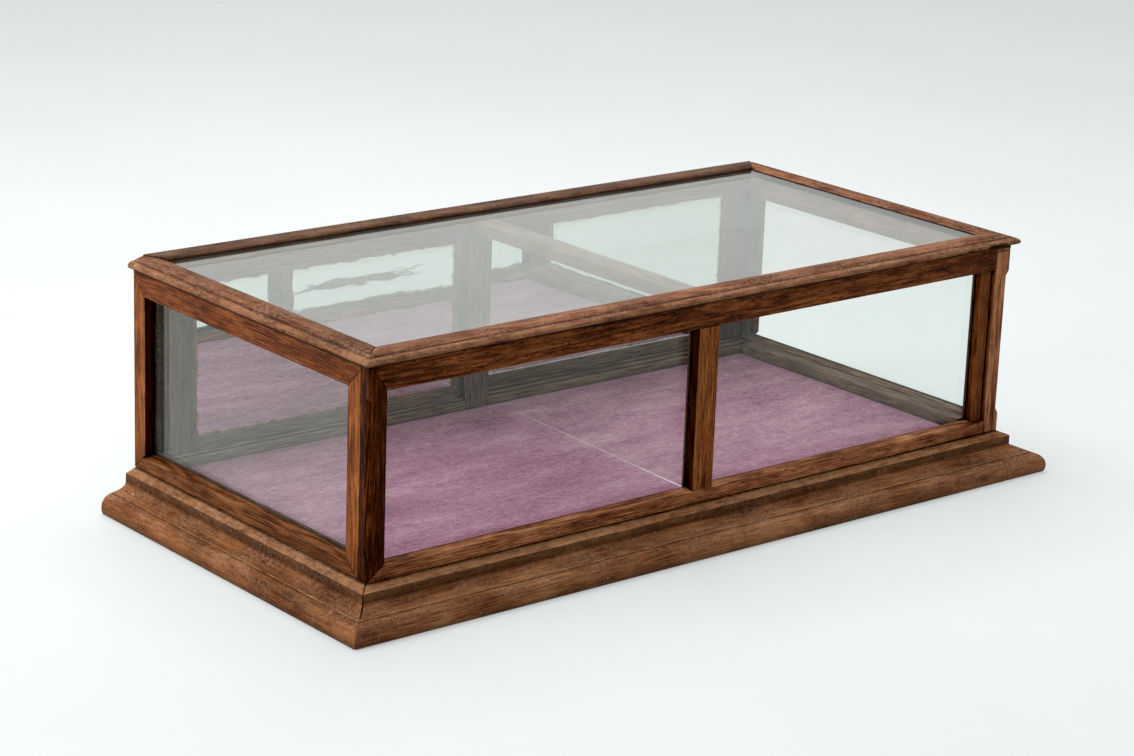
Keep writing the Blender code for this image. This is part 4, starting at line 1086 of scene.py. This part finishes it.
# Woods of the plain bars
# Heights above which the top rails are dark with painted shade, under the cornice's nose
FRONT_BAND = FRAME_TOP - 7.0 * MM
SIDE_BAND = FRAME_TOP - 9.0 * MM
INNER = {"wear": 0.4, "figure": 0.2, "fleck": 0.3}
DOOR_BAR = {"wear": 0.4, "figure": 0.3, "fleck": 0.3}
BASE_DEAL = {"wear": 0.3, "figure": 0.35, "fleck": 0.2, "dust": 0.3}
BACK_DEAL = {"wear": 0.3, "figure": 0.4, "fleck": 0.2, "dust": 0.3}
FRONT_TOP = {"wear": 0.4, "fleck": 0.8, "joint": MITRE, "band": FRONT_BAND}
MULLION = {"figure": 0.25, "grain": 1.0, "shade": (-1, 0, 0)}
BARS = {
    "front_top_rail": Wood(WARM_OAK, "X", (0, 0.055, 0.006), **FRONT_TOP),
    "front_bottom_rail": Wood(POST_OAK, "X", (0, 0.02, -0.09), wear=0.6, fleck=0.5, joint=MITRE),
    "front_left_stile": Wood(DARK_OAK, "Z", (0.07, 0.03, 0), wear=0.4, fleck=0.6, joint=MITRE),
    "front_right_stile": Wood(WARM_OAK, "Z", (0.08, 0.01, 0), wear=0.6),
    "front_mullion": Wood(HONEY_OAK, "Z", (0.1, 0.01, 0), **MULLION),
    "left_bottom_rail": Wood(SHADED_OAK, "Y", (0.02, 0, -0.09), wear=0.8, joint=MITRE),
    "left_top_rail": Wood(WARM_OAK, "Y", (0.01, 0, -0.12), joint=MITRE, band=SIDE_BAND),
    "left_front_stile": Wood(HONEY_OAK, "Z", (0.01, 0.11, 0), joint=MITRE),
    "left_rear_stile": Wood(HONEY_OAK, "Z", (0.01, -0.1, 0), joint=MITRE, shade=(0, -1, 0)),
    "right_bottom_rail": Wood(WARM_OAK, "Y", (-0.02, 0, -0.09), wear=0.8, joint=MITRE),
    "right_top_rail": Wood(POST_OAK, "Y", (-0.01, 0, -0.12), joint=MITRE, band=SIDE_BAND),
    "right_front_stile": Wood(POST_OAK, "Z", (-0.01, 0.11, 0), wear=0.6, dust=0.25, joint=MITRE),
    "right_rear_stile": Wood(WARM_OAK, "Z", (-0.01, -0.1, 0), joint=MITRE),
    "right_floor_cleat": Wood(INSIDE_OAK, "Y", (0.02, 0, -0.09), **INNER),
    "top_cross_bar": Wood(SILL_OAK, "Y", (0.02, 0, -0.09), grime_and_shade=0.0, **INNER),
    "rear_post": Wood(INSIDE_OAK, "Z", (0.09, 0.02, 0), figure=0.3),
    "rear_sill": Wood(SILL_OAK, "X", (0, 0.02, -0.09), fleck=0.3),
    "rear_head": Wood(SILL_OAK, "X", (0, 0.02, 0.09), grime_and_shade=0.0, **INNER),
    "base_rear_rail": Wood(DEAL, "X", (0, 0.09, 0.03), **BASE_DEAL),
    "floor_bearer": Wood(DEAL, "Y", (0.05, 0, 0.02), **BASE_DEAL),
    "floor_board": Wood(DEAL, "X", (0, 0.03, 0.12), **BASE_DEAL),
    "left_door_backboard": Wood(DEAL, "X", (0, 0.07, 0.03), **BACK_DEAL),
    "right_door_backboard": Wood(DEAL, "X", (0, 0.1, -0.06), **BACK_DEAL),
}
EDGE_WIDTH = 0.8 * MM
EDGE_ANGLE = 25
EDGE_SEGMENTS = 2
WELD_REACH = 0.01 * MM


def dress(node, finish, rounded=False):
    """Give a solid its finish, and wear its sharp edges round where asked."""
    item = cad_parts[node]
    item.data.materials.clear()
    item.data.materials.append(finish)
    if rounded:
        joined = item.modifiers.new("joined", "WELD")
        joined.merge_threshold = WELD_REACH
        worn = item.modifiers.new("worn", "BEVEL")
        worn.width = EDGE_WIDTH
        worn.segments = EDGE_SEGMENTS
        worn.limit_method = "ANGLE"
        worn.angle_limit = radians(EDGE_ANGLE)


def finish_bars():
    """Every plain wooden solid gets oak or deal whose grain follows its length."""
    bars = dict(BARS)
    for track in ("front", "parting", "rear"):
        bars["sill_" + track + "_bead"] = Wood(SILL_OAK, "X", (0, 0.03, -0.1), wear=0.3, fleck=0.3)
        bars["head_" + track + "_bead"] = Wood(INSIDE_OAK, "X", (0, 0.03, 0.1), **INNER)
    for ring in ("front_beads_left", "front_beads_right"):
        bars[ring] = Wood(DOOR_OAK, "X", (0, 0.03, -0.2), **INNER)
    for ring in ("left_beads", "right_beads"):
        bars[ring] = Wood(INSIDE_OAK, "Y", (0.03, 0, -0.2), grime_and_shade=0.5, **INNER)
    for door in ("left_door_", "right_door_"):
        bars[door + "left_stile"] = Wood(DOOR_OAK, "Z", (0.09, 0.02, 0), **DOOR_BAR)
        bars[door + "right_stile"] = Wood(DOOR_OAK, "Z", (-0.09, 0.02, 0), **DOOR_BAR)
        foot = Wood(INSIDE_OAK, "X", (0, 0.02, -0.09), figure=0.3, fleck=0.3, grime_and_shade=0.6)
        bars[door + "bottom_rail"] = foot
        bars[door + "top_rail"] = Wood(DOOR_OAK, "X", (0, 0.02, 0.09), **DOOR_BAR)
        bars[door + "beads"] = Wood(INSIDE_OAK, "X", (0, 0.03, -0.3), fleck=0.3, grime_and_shade=0.6)
    for node, wood in bars.items():
        dress(node, oak(node, wood), rounded=True)


# Haze and gleam of each pane
PANES = {
    "front_glass_left": (0.012, 0.5),
    "front_glass_right": (0.01, 0.5),
    "left_glass": (0.014, 1.05),
    "right_glass": (0.008, 0.9),
    "top_glass": (0.022, 1.25),
}
# Bare place in the left mirror: its middle, and half its length and height
LEFT_STREAK = ((-0.215, 0.274), (0.105, 0.006))


def finish_glass():
    """The panes and the two mirrors."""
    for node, (haze, gleam) in PANES.items():
        dress(node, glass(node + "_sheet", haze, gleam))
    for door, seed, streak in (("left_door", 0.0, LEFT_STREAK), ("right_door", 0.73, None)):
        low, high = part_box(door + "_mirror")
        dress(door + "_mirror", mirror(door + "_silver", low, high, seed, streak))


FLOOR_SIZE = 30.0
FLOOR_DARK = (0.325, 0.338, 0.336)
FLOOR_LIGHT = (0.345, 0.358, 0.356)
FLOOR_GLOW = 0.35
FLOOR_GLOW_COLOUR = (0.96, 1.0, 0.99)


def build_stage():
    """A plain pale floor."""
    bm = bmesh.new()
    bmesh.ops.create_grid(bm, x_segments=1, y_segments=1, size=FLOOR_SIZE / 2)
    mesh = bpy.data.meshes.new("floor")
    bm.to_mesh(mesh)
    bm.free()
    g = Graph("pale_floor")
    tone = g.noise(g.place(), 1.5, 4)
    colour = g.ramp(tone, (0.3, FLOOR_DARK), (0.7, FLOOR_LIGHT))
    shader = g.principled(
        Base_Color=colour,
        Roughness=0.6,
        Specular_IOR_Level=0.2,
        Emission_Color=FLOOR_GLOW_COLOUR,
        Emission_Strength=FLOOR_GLOW,
    )
    mesh.materials.append(g.surface(shader))
    floor = added("floor", mesh)


# Light: a room that is brighter to the rear left and above, and two large soft lamps.
# Each lamp has its place, size and power.
ROOM_COLOUR = (0.97, 0.985, 1.0)
ROOM_SPAN = (-0.75, 0.45)
ROOM_DARK = 0.37
ROOM_LIGHT = 0.86
ROOM_FROM = (-0.62, 0.55, 0.56)
LAMPS = {
    "window": ((-4.4, 0.9, 1.9), 2.6, 155),
    "ceiling": ((0.2, 0.9, 3.0), 2.6, 108),
}
LAMP_AIM = (0.0, 0.0, 0.1)


def build_light():
    """The room and the lamps. Lamps don't show in the glass, as it would turn white from some sides."""
    g = Graph("room", "worlds")
    direction = g.node("ShaderNodeTexCoord").outputs["Generated"]
    lean = g.vector("DOT_PRODUCT", direction, ROOM_FROM)
    strength = g.span(lean, *ROOM_SPAN, ROOM_DARK, ROOM_LIGHT)
    room = g.node("ShaderNodeBackground", Color=ROOM_COLOUR, Strength=strength).outputs[0]
    g.node("ShaderNodeOutputWorld", Surface=room)
    bpy.context.scene.world = g.block

    for name, (place, size, power) in LAMPS.items():
        lamp = bpy.data.lights.new(name, "AREA")
        lamp.shape = "SQUARE"
        lamp.size = size
        lamp.energy = power
        item = added(name, lamp)
        item.location = place
        aim = Vector(LAMP_AIM) - Vector(place)
        item.rotation_euler = aim.to_track_quat("-Z", "Y").to_euler()
        item.visible_glossy = False


def build_camera():
    """The photograph's point of view."""
    lens = bpy.data.cameras.new("camera")
    lens.lens = CAMERA_LENS
    lens.sensor_width = CAMERA_SENSOR
    lens.sensor_fit = "HORIZONTAL"
    item = added("camera", lens)
    turn = Matrix.Rotation(radians(CAMERA_TURN), 4, "Z")
    tilt = Matrix.Rotation(radians(CAMERA_TILT), 4, "X")
    roll = Matrix.Rotation(radians(CAMERA_ROLL), 4, "Z")
    item.matrix_world = Matrix.Translation(CAMERA_PLACE) @ turn @ tilt @ roll
    bpy.context.scene.camera = item


# The darkest tone that still shows
BLACK = 0.006


def set_tone():
    """Plain colours, with the deep blacks of the photograph."""
    view = bpy.context.scene.view_settings
    view.view_transform = "Standard"
    view.use_curve_mapping = True
    view.curve_mapping.black_level = (BLACK, BLACK, BLACK)
    view.curve_mapping.update()


build_mouldings()
build_lining()
build_thread()
build_glass_putty()
build_bead_putty()
build_mirror_putty()
build_nails()
finish_bars()
finish_glass()
build_stage()
build_light()
build_camera()
set_tone()
